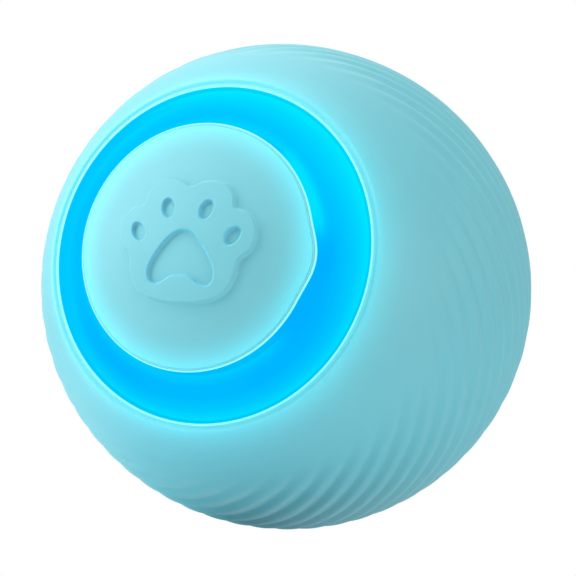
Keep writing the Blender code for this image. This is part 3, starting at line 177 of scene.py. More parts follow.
def mathNode(tree, operation, first, second=None):
    node = addNode(tree, "Math", operation=operation)
    for socket, value in zip(node.inputs, (first, second)):
        if hasattr(value, "node"):
            tree.links.new(value, socket)
        elif value is not None:
            socket.default_value = value
    return node.outputs[0]


def rampNode(tree, stops, factor, smoothness="LINEAR"):
    node = addNode(tree, "ValToRGB")
    node.color_ramp.interpolation = smoothness
    elements = node.color_ramp.elements
    elements.remove(elements[1])
    elements[0].position = stops[0][0]
    elements[0].color = (*stops[0][1], 1)
    for place, color in stops[1:]:
        elements.new(place).color = (*color, 1)
    tree.links.new(factor, node.inputs["Fac"])
    return node.outputs["Color"]


def newGroup(name, inputs, outputs):
    # inputs are (name, kind, value), outputs are (name, kind)
    group = bpy.data.node_groups.new(name, "ShaderNodeTree")
    for socketName, kind, value in inputs:
        socket = group.interface.new_socket(name=socketName, in_out="INPUT", socket_type="NodeSocket" + kind)
        if value is not None:
            socket.default_value = value
    for socketName, kind in outputs:
        group.interface.new_socket(name=socketName, in_out="OUTPUT", socket_type="NodeSocket" + kind)
    return group, group.nodes.new("NodeGroupInput"), group.nodes.new("NodeGroupOutput")


def placeGroup(tree, group, **values):
    node = tree.nodes.new("ShaderNodeGroup")
    node.node_tree = group
    for name, value in values.items():
        node.inputs[name].default_value = value
    return node


def newMaterial(name, **shaderValues):
    material = bpy.data.materials.new(name)
    material.use_nodes = True
    shader = material.node_tree.nodes["Principled BSDF"]
    for socketName, value in shaderValues.items():
        shader.inputs[socketName.replace("_", " ")].default_value = value
    return material, material.node_tree, shader


def axisDistance(tree, place):
    # how far a place is from the ball's axis
    split = addNode(tree, "SeparateXYZ")
    tree.links.new(place, split.inputs[0])
    squares = mathNode(tree, "ADD", mathNode(tree, "POWER", split.outputs["X"], 2.0),
                       mathNode(tree, "POWER", split.outputs["Z"], 2.0))
    return mathNode(tree, "SQRT", squares)


def outAlong(tree, place):
    # how far out along the axis a place is, at either end
    split = addNode(tree, "SeparateXYZ")
    tree.links.new(place, split.inputs[0])
    return mathNode(tree, "ABSOLUTE", split.outputs["Y"])


def makeSurfaceGroup():
    # two close tones in soft clouds, a fine grain for the bump, and roughness that wanders a little
    group, given, result = newGroup("surfaceGrain", [
        ("Place", "Vector", None), ("Color", "Color", (0.5, 0.5, 0.5, 1)),
        ("Tone Change", "Float", 0.06), ("Cloud Scale", "Float", 90.0),
        ("Grain Scale", "Float", 2500.0), ("Roughness", "Float", 0.5), ("Roughness Change", "Float", 0.08),
    ], [("Color", "Color"), ("Roughness", "Float"), ("Height", "Float")])
    clouds = addNode(group, "TexNoise")
    clouds.inputs["Detail"].default_value = 4
    grain = addNode(group, "TexNoise")
    grain.inputs["Detail"].default_value = 3
    linkNodes(group, (given.outputs["Place"], clouds.inputs["Vector"]),
              (given.outputs["Cloud Scale"], clouds.inputs["Scale"]),
              (given.outputs["Place"], grain.inputs["Vector"]),
              (given.outputs["Grain Scale"], grain.inputs["Scale"]))
    wander = mathNode(group, "SUBTRACT", clouds.outputs["Fac"], 0.5)
    value = mathNode(group, "ADD", mathNode(group, "MULTIPLY", wander, given.outputs["Tone Change"]), 1.0)
    tone = addNode(group, "HueSaturation")
    linkNodes(group, (given.outputs["Color"], tone.inputs["Color"]), (value, tone.inputs["Value"]),
              (tone.outputs["Color"], result.inputs["Color"]),
              (grain.outputs["Fac"], result.inputs["Height"]))
    change = mathNode(group, "MULTIPLY", mathNode(group, "SUBTRACT", grain.outputs["Fac"], 0.5),
                      given.outputs["Roughness Change"])
    linkNodes(group, (mathNode(group, "ADD", change, given.outputs["Roughness"]), result.inputs["Roughness"]))
    return group


surfaceGrain = makeSurfaceGroup()


def grainedMaterial(name, color, roughness, toneChange=0.06, cloudScale=90.0, grainScale=2500.0,
                    grainDepth=0.00001, **shaderValues):
    # a material whose colour, roughness and bump come from the surface grain
    material, tree, shader = newMaterial(name, **shaderValues)
    coordinates = addNode(tree, "TexCoord")
    grain = placeGroup(tree, surfaceGrain, Color=(*color, 1), Roughness=roughness)
    grain.inputs["Tone Change"].default_value = toneChange
    grain.inputs["Cloud Scale"].default_value = cloudScale
    grain.inputs["Grain Scale"].default_value = grainScale
    bump = addNode(tree, "Bump")
    bump.inputs["Distance"].default_value = grainDepth
    linkNodes(tree, (coordinates.outputs["Object"], grain.inputs["Place"]),
              (grain.outputs["Color"], shader.inputs["Base Color"]),
              (grain.outputs["Roughness"], shader.inputs["Roughness"]),
              (grain.outputs["Height"], bump.inputs["Height"]),
              (bump.outputs["Normal"], shader.inputs["Normal"]))
    return material


def overlay(material, mask, color):
    # a second colour on top, where the mask is white
    tree = material.node_tree
    base = tree.nodes["Principled BSDF"].inputs["Base Color"]
    mixed = addNode(tree, "Mix", data_type="RGBA")
    mixed.inputs["B"].default_value = (*color, 1)
    linkNodes(tree, (base.links[0].from_socket, mixed.inputs["A"]), (mask, mixed.inputs["Factor"]),
              (mixed.outputs["Result"], base))


# The ball's main sizes, which more than one piece follows

ball = {
    "treadRadius": 0.0401,      # over the rib crests at the middle
    "shoulderRise": 0.00065,    # how much further out the shoulders lie
    "shoulderAngle": 25,        # degrees from the middle to where they start
    "openingShare": 0.6658,     # the sleeve's openings
    "capShare": 0.4913,
    "sleeveWall": 0.0022,
    "endWallShare": 0.758,      # how far out the shells' end walls lie
    "ringProud": 0.0001,        # of the light rings over the crests
    "gap": 0.0003,
}
treadRadius = ball["treadRadius"]
shoulderRadius = treadRadius + ball["shoulderRise"]
openingRadius = treadRadius * ball["openingShare"]
capRadius = treadRadius * ball["capShare"]
gap = ball["gap"]
sleeveInner = treadRadius - ball["sleeveWall"]
shellOuter = sleeveInner - gap
endWallOut = shellOuter * ball["endWallShare"]
ringFace = treadRadius + ball["ringProud"]
ringRim = openingRadius - gap
grooveRadius = capRadius + gap


# Materials of the outside

halo = {
    # painted highlight: the thin bright line is light painted into the rubber at the edges beside the rings
    "line": (0.13, 0.50, 0.44),     # the thin bright line at the edges beside the rings
    "glow": (0.0, 0.84, 1.0),
    # on the sleeve, by the distance from the axis in mm: how strong the glow is
    "sleeveLine": (26.90, 27.20),
    "sleeveStops": ((27.25, 0.24), (27.6, 0.25), (28.0, 0.28), (28.4, 0.24), (28.9, 0.17), (29.7, 0.105),
                    (30.4, 0.065), (31.1, 0.04), (32.2, 0.018), (33.3, 0.006), (34.5, 0.0)),
    # on the caps, by how far out along the axis in mm, because their domes fall towards the rim
    "capLine": (36.58, 36.90),
    "capStops": ((36.96, 0.08), (37.0, 0.04), (37.07, 0.32), (37.12, 0.34), (37.2, 0.33), (37.5, 0.23),
                 (37.9, 0.13), (38.26, 0.06), (38.6, 0.02), (38.95, 0.0)),
}


def makeHaloGroup(name, measure, line, glowStops):
    # the light that the rings send into the rubber beside them
    group, given, result = newGroup(name, [("Place", "Vector", None)], [("Color", "Color")])
    distance = measure(group, given.outputs["Place"])
    near, far = line[0], glowStops[-1][0]
    share = mathNode(group, "DIVIDE", mathNode(group, "SUBTRACT", distance, near / 1000), (far - near) / 1000)
    # first the painted highlight of the bright line, then the painted glow fading away from the ring
    stops = [(0.0, halo["line"]), ((line[1] - near) / (far - near), halo["line"])]
    for place, bright in glowStops:
        stops.append(((place - near) / (far - near), [bright * c for c in halo["glow"]]))
    linkNodes(group, (rampNode(group, stops, share), result.inputs["Color"]))
    return group


silicone = {
    "color": (0.190, 0.592, 0.673),
    "roughness": 0.50,
    "shine": 0.38,
    "toneChange": 0.035,
    "cloudScale": 120.0,
    "grainScale": 3200.0,
    "grainDepth": 0.000012,
    # painted light: a lighter blue on the side walls of the sunk pad and toes, for light coming through the
    # rubber
    "pawWallPaintedLight": (0.14, 0.59, 0.80),     # the side walls of the sunk pad and toes
}


def makeSilicone(name, haloGroup):
    material = grainedMaterial(
        name, silicone["color"], silicone["roughness"], silicone["toneChange"],
        silicone["cloudScale"], silicone["grainScale"], silicone["grainDepth"],
        Specular_IOR_Level=silicone["shine"], Emission_Strength=1.0)
    tree = material.node_tree
    glow = placeGroup(tree, haloGroup)
    linkNodes(tree, (tree.nodes["Texture Coordinate"].outputs["Object"], glow.inputs["Place"]),
              (glow.outputs["Color"], tree.nodes["Principled BSDF"].inputs["Emission Color"]))
    return material


lens = {
    "color": (0.0, 0.02, 0.05),
    "roughness": (0.36, 0.50),
    "frostScale": 1500.0,
    # the glow by the share of the ring's width, where it is deep and where it is pale
    "deep": ((0.0, (0, 0.49, 0.90)), (0.035, (0, 0.56, 0.97)), (0.09, (0, 0.56, 1)), (0.18, (0, 0.51, 1)),
             (0.30, (0, 0.46, 1)), (0.52, (0, 0.45, 1)), (0.79, (0, 0.54, 1)), (0.93, (0, 0.64, 1)),
             (0.98, (0, 0.69, 1)), (1.0, (0, 0.56, 0.88))),
    "pale": ((0.0, (0, 0.53, 0.92)), (0.035, (0, 0.63, 0.97)), (0.09, (0, 0.63, 1)), (0.18, (0, 0.59, 1)),
             (0.30, (0, 0.55, 1)), (0.52, (0, 0.60, 1)), (0.79, (0, 0.69, 1)), (0.93, (0, 0.76, 1)),
             (0.98, (0, 0.80, 1)), (1.0, (0, 0.66, 0.90))),
    "lampScale": 45.0,
    "lampShare": 0.9,
    # colour by direction round the ring, a painted shadow beside the tab, painted shade at the left edge and
    # a paler patch beside the cap: (direction in degrees, how near to it, share of the width, colour)
    "paintedTabShadow": (-17, (0.84, 0.97), (0.55, 0.20), (0, 0.42, 1)),
    "paintedLeftShade": (170, (0.35, 0.85), (0.62, 0.80), (0, 0.56, 1)),
    "besideCap": (32, (0.90, 0.985), (0.24, 0.05), (0, 0.73, 1)),
}


def paintOnSide(tree, color, split, radius, share, settings):
    # mixes one colour in on one side of the ring: painted shadow beside the tab, painted shade at the left
    # edge, a paler patch beside the cap
    aim, nearness, shares, even = settings
    aim = math.radians(aim)
    towards = mathNode(tree, "ADD", mathNode(tree, "MULTIPLY", split.outputs["X"], math.cos(aim)),
                       mathNode(tree, "MULTIPLY", split.outputs["Z"], math.sin(aim)))
    amounts = []
    for (start, full), measure in ((nearness, mathNode(tree, "DIVIDE", towards, radius)), (shares, share)):
        step = addNode(tree, "MapRange", interpolation_type="SMOOTHSTEP")
        step.inputs["From Min"].default_value = start
        step.inputs["From Max"].default_value = full
        tree.links.new(measure, step.inputs["Value"])
        amounts.append(step.outputs["Result"])
    mixed = addNode(tree, "Mix", data_type="RGBA")
    mixed.inputs["B"].default_value = (*even, 1)
    linkNodes(tree, (mathNode(tree, "MULTIPLY", *amounts), mixed.inputs["Factor"]),
              (color, mixed.inputs["A"]))
    return mixed.outputs["Result"]


def makeLens():
    # glowing translucent plastic, deep in its middle and pale towards its edges and its top
    material, tree, shader = newMaterial(
        "lightRing", Base_Color=(*lens["color"], 1), Specular_IOR_Level=0.0, Emission_Strength=1.0)
    place = addNode(tree, "TexCoord").outputs["Object"]
    radius = axisDistance(tree, place)
    share = mathNode(tree, "DIVIDE", mathNode(tree, "SUBTRACT", radius, capRadius), ringRim - capRadius)
    split = addNode(tree, "SeparateXYZ")
    lamps = addNode(tree, "TexNoise")
    lamps.inputs["Scale"].default_value = lens["lampScale"]
    lamps.inputs["Detail"].default_value = 0
    frost = addNode(tree, "TexNoise")
    frost.inputs["Scale"].default_value = lens["frostScale"]
    linkNodes(tree, (place, split.inputs[0]), (place, lamps.inputs["Vector"]),
              (place, frost.inputs["Vector"]))
    wander = mathNode(tree, "MULTIPLY", mathNode(tree, "SUBTRACT", lamps.outputs["Fac"], 0.5),
                      lens["lampShare"])
    height = mathNode(tree, "ADD", mathNode(tree, "DIVIDE", split.outputs["Z"], 2 * ringRim), 0.5)
    bands = addNode(tree, "Mix", data_type="RGBA")
    rough = addNode(tree, "MapRange")
    rough.inputs["To Min"].default_value, rough.inputs["To Max"].default_value = lens["roughness"]
    linkNodes(tree, (mathNode(tree, "ADD", height, wander), bands.inputs["Factor"]),
              (rampNode(tree, lens["deep"], share), bands.inputs["A"]),
              (rampNode(tree, lens["pale"], share), bands.inputs["B"]),
              (frost.outputs["Fac"], rough.inputs["Value"]),
              (rough.outputs["Result"], shader.inputs["Roughness"]))
    glow = bands.outputs["Result"]
    # painted shadow beside the tab, painted shade at the left edge, a paler patch beside the cap
    for side in ("paintedTabShadow", "paintedLeftShade", "besideCap"):
        glow = paintOnSide(tree, glow, split, radius, share, lens[side])
    tree.links.new(glow, shader.inputs["Emission Color"])
    return material


sleeveSilicone = makeSilicone(
    "sleeveSilicone", makeHaloGroup("sleeveHalo", axisDistance, halo["sleeveLine"], halo["sleeveStops"]))
capSilicone = makeSilicone(
    "capSilicone", makeHaloGroup("capHalo", outAlong, halo["capLine"], halo["capStops"]))
# painted light: the side walls of the pad and toes take a lighter blue
pawWall = addNode(capSilicone.node_tree, "Attribute")
pawWall.attribute_name = "pawWall"
overlay(capSilicone, pawWall.outputs["Fac"], silicone["pawWallPaintedLight"])
lightRingPlastic = makeLens()
print("outside materials made")


# The tread sleeve: a rubber skin with slanting ribs, rolled lips, and pockets for the rings' flanges

tread = {
    "ribs": 40,
    "ribDepth": 0.00052,
    "ribLean": -1.4,                # how far a rib runs round for each turn towards the rear
    "ribsStart": 56,                # degrees from the end where they fade in
    "ribsFull": 70,
    "ribSharpness": 1.6,            # over 1, the valleys are broader than the crests
    "ribPlaces": (0, 0.04, 0.10, 0.17, 0.25, 0.33, 0.41, 0.5, 0.59, 0.67, 0.75, 0.83, 0.90, 0.96),
    # the lip from the opening: (outwards from it, out along the axis, rounding): a thin bead
    # beside the ring, a shallow valley, and a roll that falls to the skin
    "lipCorners": ((0.0, 0.0299, 0), (0.00016, 0.03058, 0.00012), (0.00054, 0.03060, 0.00018),
                   (0.00080, 0.03001, 0.00028), (0.00155, 0.03031, 0.0007)),
    "lipReach": 0.0029,
    "pocketReach": 0.0024,
    "flangeRoom": 0.0008,           # for the ring's flange, between the sleeve and the shell
    "skinRows": 74,
    "insideRows": 25,
}


def treadSection():
    # one closed section, from the front lip over the skin to the rear lip and back inside
    skinPolar = math.asin((openingRadius + tread["lipReach"]) / shoulderRadius)
    skin = ballArc(shoulderRadius, skinPolar, math.pi - skinPolar, tread["skinRows"])
    corners = [(openingRadius + reach, out, soft) for reach, out, soft in tread["lipCorners"]]
    frontHalf = rounded(corners + [(*skin[0], 0)], 5)[:-1]
    rearHalf = [(radius, -out) for radius, out in reversed(frontHalf)]
    roof = sleeveInner + tread["flangeRoom"] + gap
    pocketPolar = math.asin((openingRadius + tread["pocketReach"]) / roof)
    pocket = ballArc(roof, pocketPolar, math.asin(openingRadius / roof), 4)
    inside = ballArc(sleeveInner, math.pi - pocketPolar, pocketPolar, tread["insideRows"])
    rearPocket = [(radius, -out) for radius, out in reversed(pocket)]
    return frontHalf + skin + rearHalf + rearPocket + inside + pocket


def shapeSkin(points):
    # crowns the skin, cuts the ribs into it and turns everything with the ribs' lean
    out = -points[:, 1]
    radius = np.hypot(points[:, 0], points[:, 2])
    polar = np.arctan2(radius, out)
    distance = np.hypot(radius, out)
    turn = np.arctan2(points[:, 2], points[:, 0])
    places = tread["ribPlaces"]
    column = np.rint(turn / (2 * math.pi) * tread["ribs"] * len(places)).astype(int)
    share = np.array(places)[column % len(places)]
    rib = np.floor_divide(column, len(places))
    turn = 2 * math.pi * (rib + share) / tread["ribs"]
    turn = turn + tread["ribLean"] * (polar - math.pi / 2)
    fromMiddle = np.abs(polar - math.pi / 2)
    crown = np.minimum(fromMiddle / math.radians(ball["shoulderAngle"]), 1) ** 2
    start, full = math.radians(tread["ribsStart"]), math.radians(tread["ribsFull"])
    fade = smoothStep((math.pi / 2 - fromMiddle - start) / (full - start))
    groove = 1 - np.abs(np.sin(math.pi * share)) ** tread["ribSharpness"]
    lowered = ball["shoulderRise"] * (1 - crown) + tread["ribDepth"] * groove * fade
    onSkin = distance > shoulderRadius - 0.00001
    scale = np.where(onSkin, (distance - lowered) / distance, 1)
    radius, out = radius * scale, out * scale
    return np.stack([radius * np.cos(turn), -out, radius * np.sin(turn)], axis=1)


def fillWithLight(piece, isLit):
    # some faces beside a ring look like the ring itself
    piece.data.materials.append(lightRingPlastic)
    for face in piece.data.polygons:
        radius = math.hypot(face.center.x, face.center.z)
        face.material_index = int(isLit(radius, abs(face.center.y)))


def buildTread():
    sleeve = spinSection("treadSleeve", treadSection(), frontSide, tread["ribs"] * len(tread["ribPlaces"]))
    writePoints(sleeve, shapeSkin(readPoints(sleeve)))
    smooth(sleeve, 50)
    dress(sleeve, sleeveSilicone, "shell", "aqua_silicone", "tread_sleeve")
    fillWithLight(sleeve, lambda radius, out: radius < halo["sleeveLine"][0] / 1000)


buildTread()
print("tread sleeve built")


# The light rings, whose neck goes down round the cap's skirt to the end wall

ring = {
    "wall": 0.0018,
    "flange": 0.0008,
    "flangeReach": 0.0020,
    "footWall": 0.0015,
    "neckWall": 0.0018,
    "capSeatDepth": 0.0007,
    "edgeRound": 0.0004,
    "facePoints": 26,
    "steps": 288,
}
capSeat = outOnBall(ringFace, grooveRadius) - ring["capSeatDepth"]
neckInner = grooveRadius - ring["neckWall"]


def ringSection():
    face = ballArc(ringFace, math.asin(grooveRadius / ringFace), math.asin(ringRim / ringFace),
                   ring["facePoints"])
    foot = shellOuter + gap
    flangeTop = foot + ring["flange"]
    flangeEdge = ringRim + ring["flangeReach"]
    flangePolar = math.asin(flangeEdge / flangeTop)
    footInner = ringRim - ring["footWall"]
    inner = ringFace - ring["wall"]
    soft = ring["edgeRound"]
    corners = [(*face[0], soft)]
    corners += [(*place, 0) for place in face[3:-3]]
    corners += [
        (*face[-1], soft),
        (ringRim, outOnBall(flangeTop, ringRim), 0.0003),
        (flangeEdge, outOnBall(flangeTop, flangeEdge), 0.0002),
        (foot * math.sin(flangePolar), foot * math.cos(flangePolar), 0),
        (footInner, outOnBall(foot, footInner), 0),
        (footInner, outOnBall(inner, footInner), 0.0003),
        (grooveRadius, outOnBall(inner, grooveRadius), 0.0003),
        (grooveRadius, endWallOut + gap, 0),
        (neckInner, endWallOut + gap, 0.0002),
        (neckInner, capSeat, 0.0003),
        (grooveRadius, capSeat, 0),
    ]
    return rounded(corners)


def buildRings():
    frontRing = spinSection("lightRingFront", ringSection(), frontSide, ring["steps"])
    smooth(frontRing, 35)
    rearRing = copyTurned(frontRing, "lightRingRear")
    dress(frontRing, lightRingPlastic, "shell", "light_ring", "light_ring_front")
    dress(rearRing, lightRingPlastic, "shell", "light_ring", "light_ring_rear")


buildRings()
print("light rings built")


# The caps: a domed button with a raised paw, whose pad and toes are sunk back to the dome

cap = {
    "proud": 0.0021,            # of the rim over the ring
    "rise": 0.00385,            # of the dome over the rim
    "edgeRound": 0.0008,
    "wall": 0.0018,
    "skirtWall": 0.0015,
    "skirtReach": 0.0036,
    "grooveOut": 0.03702,       # a fine groove round the dome, just inside its edge
    "grooveDepth": 0.00009,
    "grooveHalf": 0.00006,
    "tabProud": 0.00085,
    "tabHalfAngle": 20,
    "tabAim": -3.0,
    "tabThickness": 0.0011,
    "tabBlend": 0.0030,         # how far in from the rim the dome follows the tab
    "steps": 480,
    "pawRings": 112,
}
capShoulder = outOnBall(ringFace, capRadius) + cap["proud"]
capApex = capShoulder + cap["rise"]
capEdge = capRadius - cap["edgeRound"]
domeRadius = (capEdge**2 + cap["rise"] ** 2) / (2 * cap["rise"])

paw = {
    "halfWidth": capRadius * 0.589,
    "raise": 0.00075,
    "recessShare": 0.9,         # how much of that the pad and toes are sunk
    "outerSlope": 0.0004,       # how wide the plaque's soft side is
    "recessSlope": 0.00038,     # how wide the sides of the pad and toes are
    # outlines as shares of the half width, from the top down the right half
    "plaque": ((0.0, 0.764), (0.16, 0.833), (0.345, 0.85), (0.517, 0.793), (0.63, 0.655), (0.672, 0.5),
               (0.828, 0.448), (0.957, 0.328), (1.0, 0.155), (0.957, -0.052), (0.81, -0.207),
               (0.776, -0.397), (0.69, -0.595), (0.509, -0.741), (0.25, -0.81), (0.0, -0.828)),
    "pad": ((0.0, 0.151), (0.112, 0.123), (0.224, 0.034), (0.336, -0.108), (0.431, -0.26),
            (0.479, -0.397), (0.46, -0.517), (0.379, -0.577), (0.267, -0.55), (0.15, -0.475),
            (0.0, -0.452)),
    "toeCentres": ((0.279, 0.441), (0.69, 0.11)),
    "toeHalfSize": (0.087, 0.132),
    "toeLeans": (-15, -33),
}


def domeOut(radius, apex):
    return apex - domeRadius + np.sqrt(domeRadius**2 - radius**2)


def smoothOutline(shares, size, steps=8):
    # a closed curve through the right half's points and their mirror image
    right = [Vector((x * size, y * size)) for x, y in shares]
    points = right + [Vector((-p.x, p.y)) for p in reversed(right[1:-1])]
    curve = []
    for i in range(len(points)):
        a, b, c, d = (points[(i + k) % len(points)] for k in (-1, 0, 1, 2))
        for step in range(steps):
            t = step / steps
            curve.append(0.5 * (2 * b + (c - a) * t + (2 * a - 5 * b + 4 * c - d) * t**2
                                + (3 * b - a - 3 * c + d) * t**3))
    return np.array([tuple(p) for p in curve])


def depthInside(outline, places):
    # how far each place is inside a closed outline; outside it is below zero
    ends = np.roll(outline, -1, axis=0)
    along = ends - outline
    nearest = np.full(len(places), 1.0)
    crossings = np.zeros(len(places), int)
    for (ax, ay), by, (dx, dy) in zip(outline, ends[:, 1], along):
        px, py = places[:, 0] - ax, places[:, 1] - ay
        t = np.clip((px * dx + py * dy) / (dx * dx + dy * dy), 0, 1)
        nearest = np.minimum(nearest, np.hypot(px - t * dx, py - t * dy))
        spans = (ay > places[:, 1]) != (by > places[:, 1])
        if ay != by:
            crossings += spans & (px < (places[:, 1] - ay) * dx / dy)
    return np.where(crossings % 2 == 1, nearest, -nearest)


def ovalDepth(places, centre, halfSize, lean):
    # about how far each place is inside an oval
    dx, dy = places[:, 0] - centre[0], places[:, 1] - centre[1]
    c, s = math.cos(lean), math.sin(lean)
    u, v = (dx * c + dy * s) / halfSize[0], (dy * c - dx * s) / halfSize[1]
    reach = np.hypot(u, v)
    slope = np.hypot(u / halfSize[0], v / halfSize[1]) / np.maximum(reach, 0.001)
    return (1 - reach) / np.maximum(slope, 1 / max(halfSize))


def pawHeight(places):
    # how far the paw stands over the dome, at places to the right and up from its middle
    size = paw["halfWidth"]
    plaque = depthInside(smoothOutline(paw["plaque"], size), places)
    sunk = depthInside(smoothOutline(paw["pad"], size), places)
    halfSize = [share * size for share in paw["toeHalfSize"]]
    for (x, y), lean in zip(paw["toeCentres"], paw["toeLeans"]):
        for mirror in (1, -1):
            centre = (mirror * x * size, y * size)
            sunk = np.maximum(sunk, ovalDepth(places, centre, halfSize, mirror * math.radians(lean)))
    outer, recess = paw["outerSlope"], paw["recessSlope"]
    sinking = smoothStep(sunk / recess + 0.5)
    height = smoothStep(plaque / outer + 0.35) * (1 - paw["recessShare"] * sinking)
    return paw["raise"] * height, 4 * sinking * (1 - sinking)


def capSection():
    pawReach = paw["halfWidth"] + paw["outerSlope"]
    dome = [pawReach * i / cap["pawRings"] for i in range(cap["pawRings"] + 1)]
    dome += [pawReach + (capEdge - pawReach) * i / 10 for i in range(1, 10)]
    corners = [(radius, float(domeOut(radius, capApex)), 0) for radius in dome]
    skirtOuter = grooveRadius - ring["neckWall"] - gap
    skirtInner = skirtOuter - cap["skirtWall"]
    seat = capSeat + gap
    tabTop = capShoulder - cap["edgeRound"]
    tabLow = tabTop - cap["tabThickness"]
    corners += [
        (capRadius, float(domeOut(capRadius - 0.0003, capApex)), 0.0011),
        (capRadius, tabTop - cap["tabThickness"] * 0.5, 0),
        (capRadius, tabLow + 0.0001, 0),
        (capRadius, tabLow - 0.0001, 0),
        (capRadius, seat, 0.0002),
        (skirtOuter, seat, 0.0002),
        (skirtOuter, seat - cap["skirtReach"], 0.0004),
        (skirtInner, seat - cap["skirtReach"], 0.0004),
    ]
    inside = [skirtInner * (1 - i / 14) for i in range(15)]
    corners += [(radius, float(domeOut(radius, capApex - cap["wall"])), 0) for radius in inside]
    section = [Vector(place) for place in rounded(corners, 8)]
    groove = min(range(len(section)), key=lambda i: abs(section[i].y - cap["grooveOut"])
                 + abs(section[i].x - capEdge))
    along = (section[groove + 1] - section[groove - 1]).normalized()
    bottom = section[groove] - Vector((-along.y, along.x)) * cap["grooveDepth"]
    beside = along * cap["grooveHalf"]
    section[groove:groove + 1] = [section[groove] - beside * 1.4, section[groove] - beside, bottom,
                                  section[groove] + beside, section[groove] + beside * 1.4]
    return [tuple(place) for place in section]


def raisePaw(points):
    # also gives how much each point lies on a side wall of the pad or a toe
    out = -points[:, 1]
    radius = np.hypot(points[:, 0], points[:, 2])
    domeHeight = domeOut(np.minimum(radius, capEdge), capApex)
    onDome = (radius < paw["halfWidth"] + 0.002) & (out > domeHeight - 0.0002)
    walls = np.zeros(len(points))
    rise, walls[onDome] = pawHeight(points[onDome][:, (0, 2)])
    points[onDome, 1] -= rise
    return points, walls


def pushTab(points):
    # the rim bulges out over the light ring at one place, for a thumb to lift it
    radius = np.hypot(points[:, 0], points[:, 2])
    angle = np.degrees(np.arctan2(points[:, 2], points[:, 0])) - cap["tabAim"]
    bulge = np.where(np.abs(angle) < cap["tabHalfAngle"],
                     0.5 + 0.5 * np.cos(np.pi * angle / cap["tabHalfAngle"]), 0)
    tabLow = capShoulder - cap["edgeRound"] - cap["tabThickness"]
    reached = smoothStep((radius - capRadius + cap["tabBlend"]) / cap["tabBlend"]) * (-points[:, 1] > tabLow)
    scale = 1 + cap["tabProud"] * bulge * reached / np.maximum(radius, 0.001)
    points[:, (0, 2)] *= scale[:, None]
    return points


def lightWalls(piece):
    # the side wall of a cap stands in the ring and is filled with its light
    low = (capSeat + gap, halo["capLine"][0] / 1000)
    fillWithLight(piece, lambda radius, out: radius > capRadius - 0.0001 and low[0] < out < low[1])


def buildCaps():
    frontCap = spinSection("frontCap", capSection(), frontSide, cap["steps"], meetsAxis=True)
    points, walls = raisePaw(readPoints(frontCap))
    writePoints(frontCap, points)
    frontCap.data.attributes.new("pawWall", "FLOAT", "POINT").data.foreach_set("value", walls)
    smooth(frontCap, 60)
    rearCap = copyTurned(frontCap, "rearCap")
    writePoints(frontCap, pushTab(readPoints(frontCap)))
    dress(frontCap, capSilicone, "front_cap", "aqua_silicone", "front_cap")
    dress(rearCap, capSilicone, "shell", "aqua_silicone", "rear_cap")
    lightWalls(frontCap)
    lightWalls(rearCap)


buildCaps()
print("caps built")


# Materials of the inside

insideFinishes = {
    # name: (colour, roughness, metallic, cloud scale, grain depth, the nodes that take it)
    "shellPlastic": ((0.62, 0.70, 0.73), 0.42, 0.0, 70.0, 0.000008, ("shell_front", "shell_rear")),
    "sealRubber": ((0.018, 0.018, 0.020), 0.70, 0.0, 200.0, 0.00002, ("shell_seal",)),
    "whitePlastic": ((0.82, 0.82, 0.78), 0.34, 0.0, 60.0, 0.000004,
                     ("bearing_front", "bearing_rear", "ring_gear", "compound_gear", "power_button")),
    "framePlastic": ((0.060, 0.062, 0.068), 0.50, 0.0, 110.0, 0.00003,
                     ("front_plate", "rear_plate", "motor_plate", "cradle")),
    "switchPlastic": ((0.02, 0.02, 0.02), 0.38, 0.0, 150.0, 0.00001, ("power_switch",)),
    "batteryWrap": ((0.08, 0.22, 0.50), 0.33, 0.0, 160.0, 0.00003, ("battery",)),
    "leadJacket": ((0.50, 0.04, 0.04), 0.45, 0.0, 140.0, 0.00001,
                   ("front_light_lead", "rear_light_lead", "battery_lead", "motor_lead")),
    "circuitBoard": ((0.015, 0.13, 0.065), 0.36, 0.0, 120.0, 0.000005,
                     ("main_board", "led_board_front", "led_board_rear")),
    "steel": ((0.56, 0.56, 0.58), 0.30, 1.0, 200.0, 0.000006,
              ("motor", "motor_shaft", "idler_pin", "charging_port")),
    "ballastSteel": ((0.40, 0.40, 0.41), 0.50, 1.0, 260.0, 0.00005, ("ballast_weight",)),
    "brass": ((0.72, 0.52, 0.20), 0.28, 1.0, 220.0, 0.000006, ("motor_pinion",)),
}
insideMaterials = {}
for finishName, (tint, roughness, metal, cloudScale, depth, members) in insideFinishes.items():
    insideMaterials[finishName] = grainedMaterial(
        finishName, tint, roughness, cloudScale=cloudScale, grainDepth=depth, Metallic=metal)


def markAlong(material, direction, scale, dark, strength):
    # fine lines across a piece, as a tool or a mould leaves them
    tree = material.node_tree
    lines = addNode(tree, "TexWave", bands_direction=direction)
    lines.inputs["Scale"].default_value = scale
    lines.inputs["Distortion"].default_value = 1.2
    lines.inputs["Detail"].default_value = 2
    tree.links.new(tree.nodes["Texture Coordinate"].outputs["Object"], lines.inputs["Vector"])
    overlay(material, mathNode(tree, "MULTIPLY", lines.outputs["Fac"], strength), dark)


def printCircuit(material):
    # copper tracks under the green, and tinned pads
    tree = material.node_tree
    turned = addNode(tree, "Mapping")
    turned.inputs["Rotation"].default_value = (math.radians(90), 0, 0)
    tracks = addNode(tree, "TexBrick")
    tracks.inputs["Scale"].default_value = 260
    tracks.inputs["Mortar Size"].default_value = 0.035
    pads = addNode(tree, "TexVoronoi")
    pads.inputs["Scale"].default_value = 300
    linkNodes(tree, (tree.nodes["Texture Coordinate"].outputs["Object"], turned.inputs["Vector"]),
              (turned.outputs["Vector"], tracks.inputs["Vector"]),
              (turned.outputs["Vector"], pads.inputs["Vector"]))
    overlay(material, tracks.outputs["Fac"], (0.06, 0.30, 0.12))
    overlay(material, mathNode(tree, "LESS_THAN", pads.outputs["Distance"], 0.13), (0.62, 0.62, 0.58))


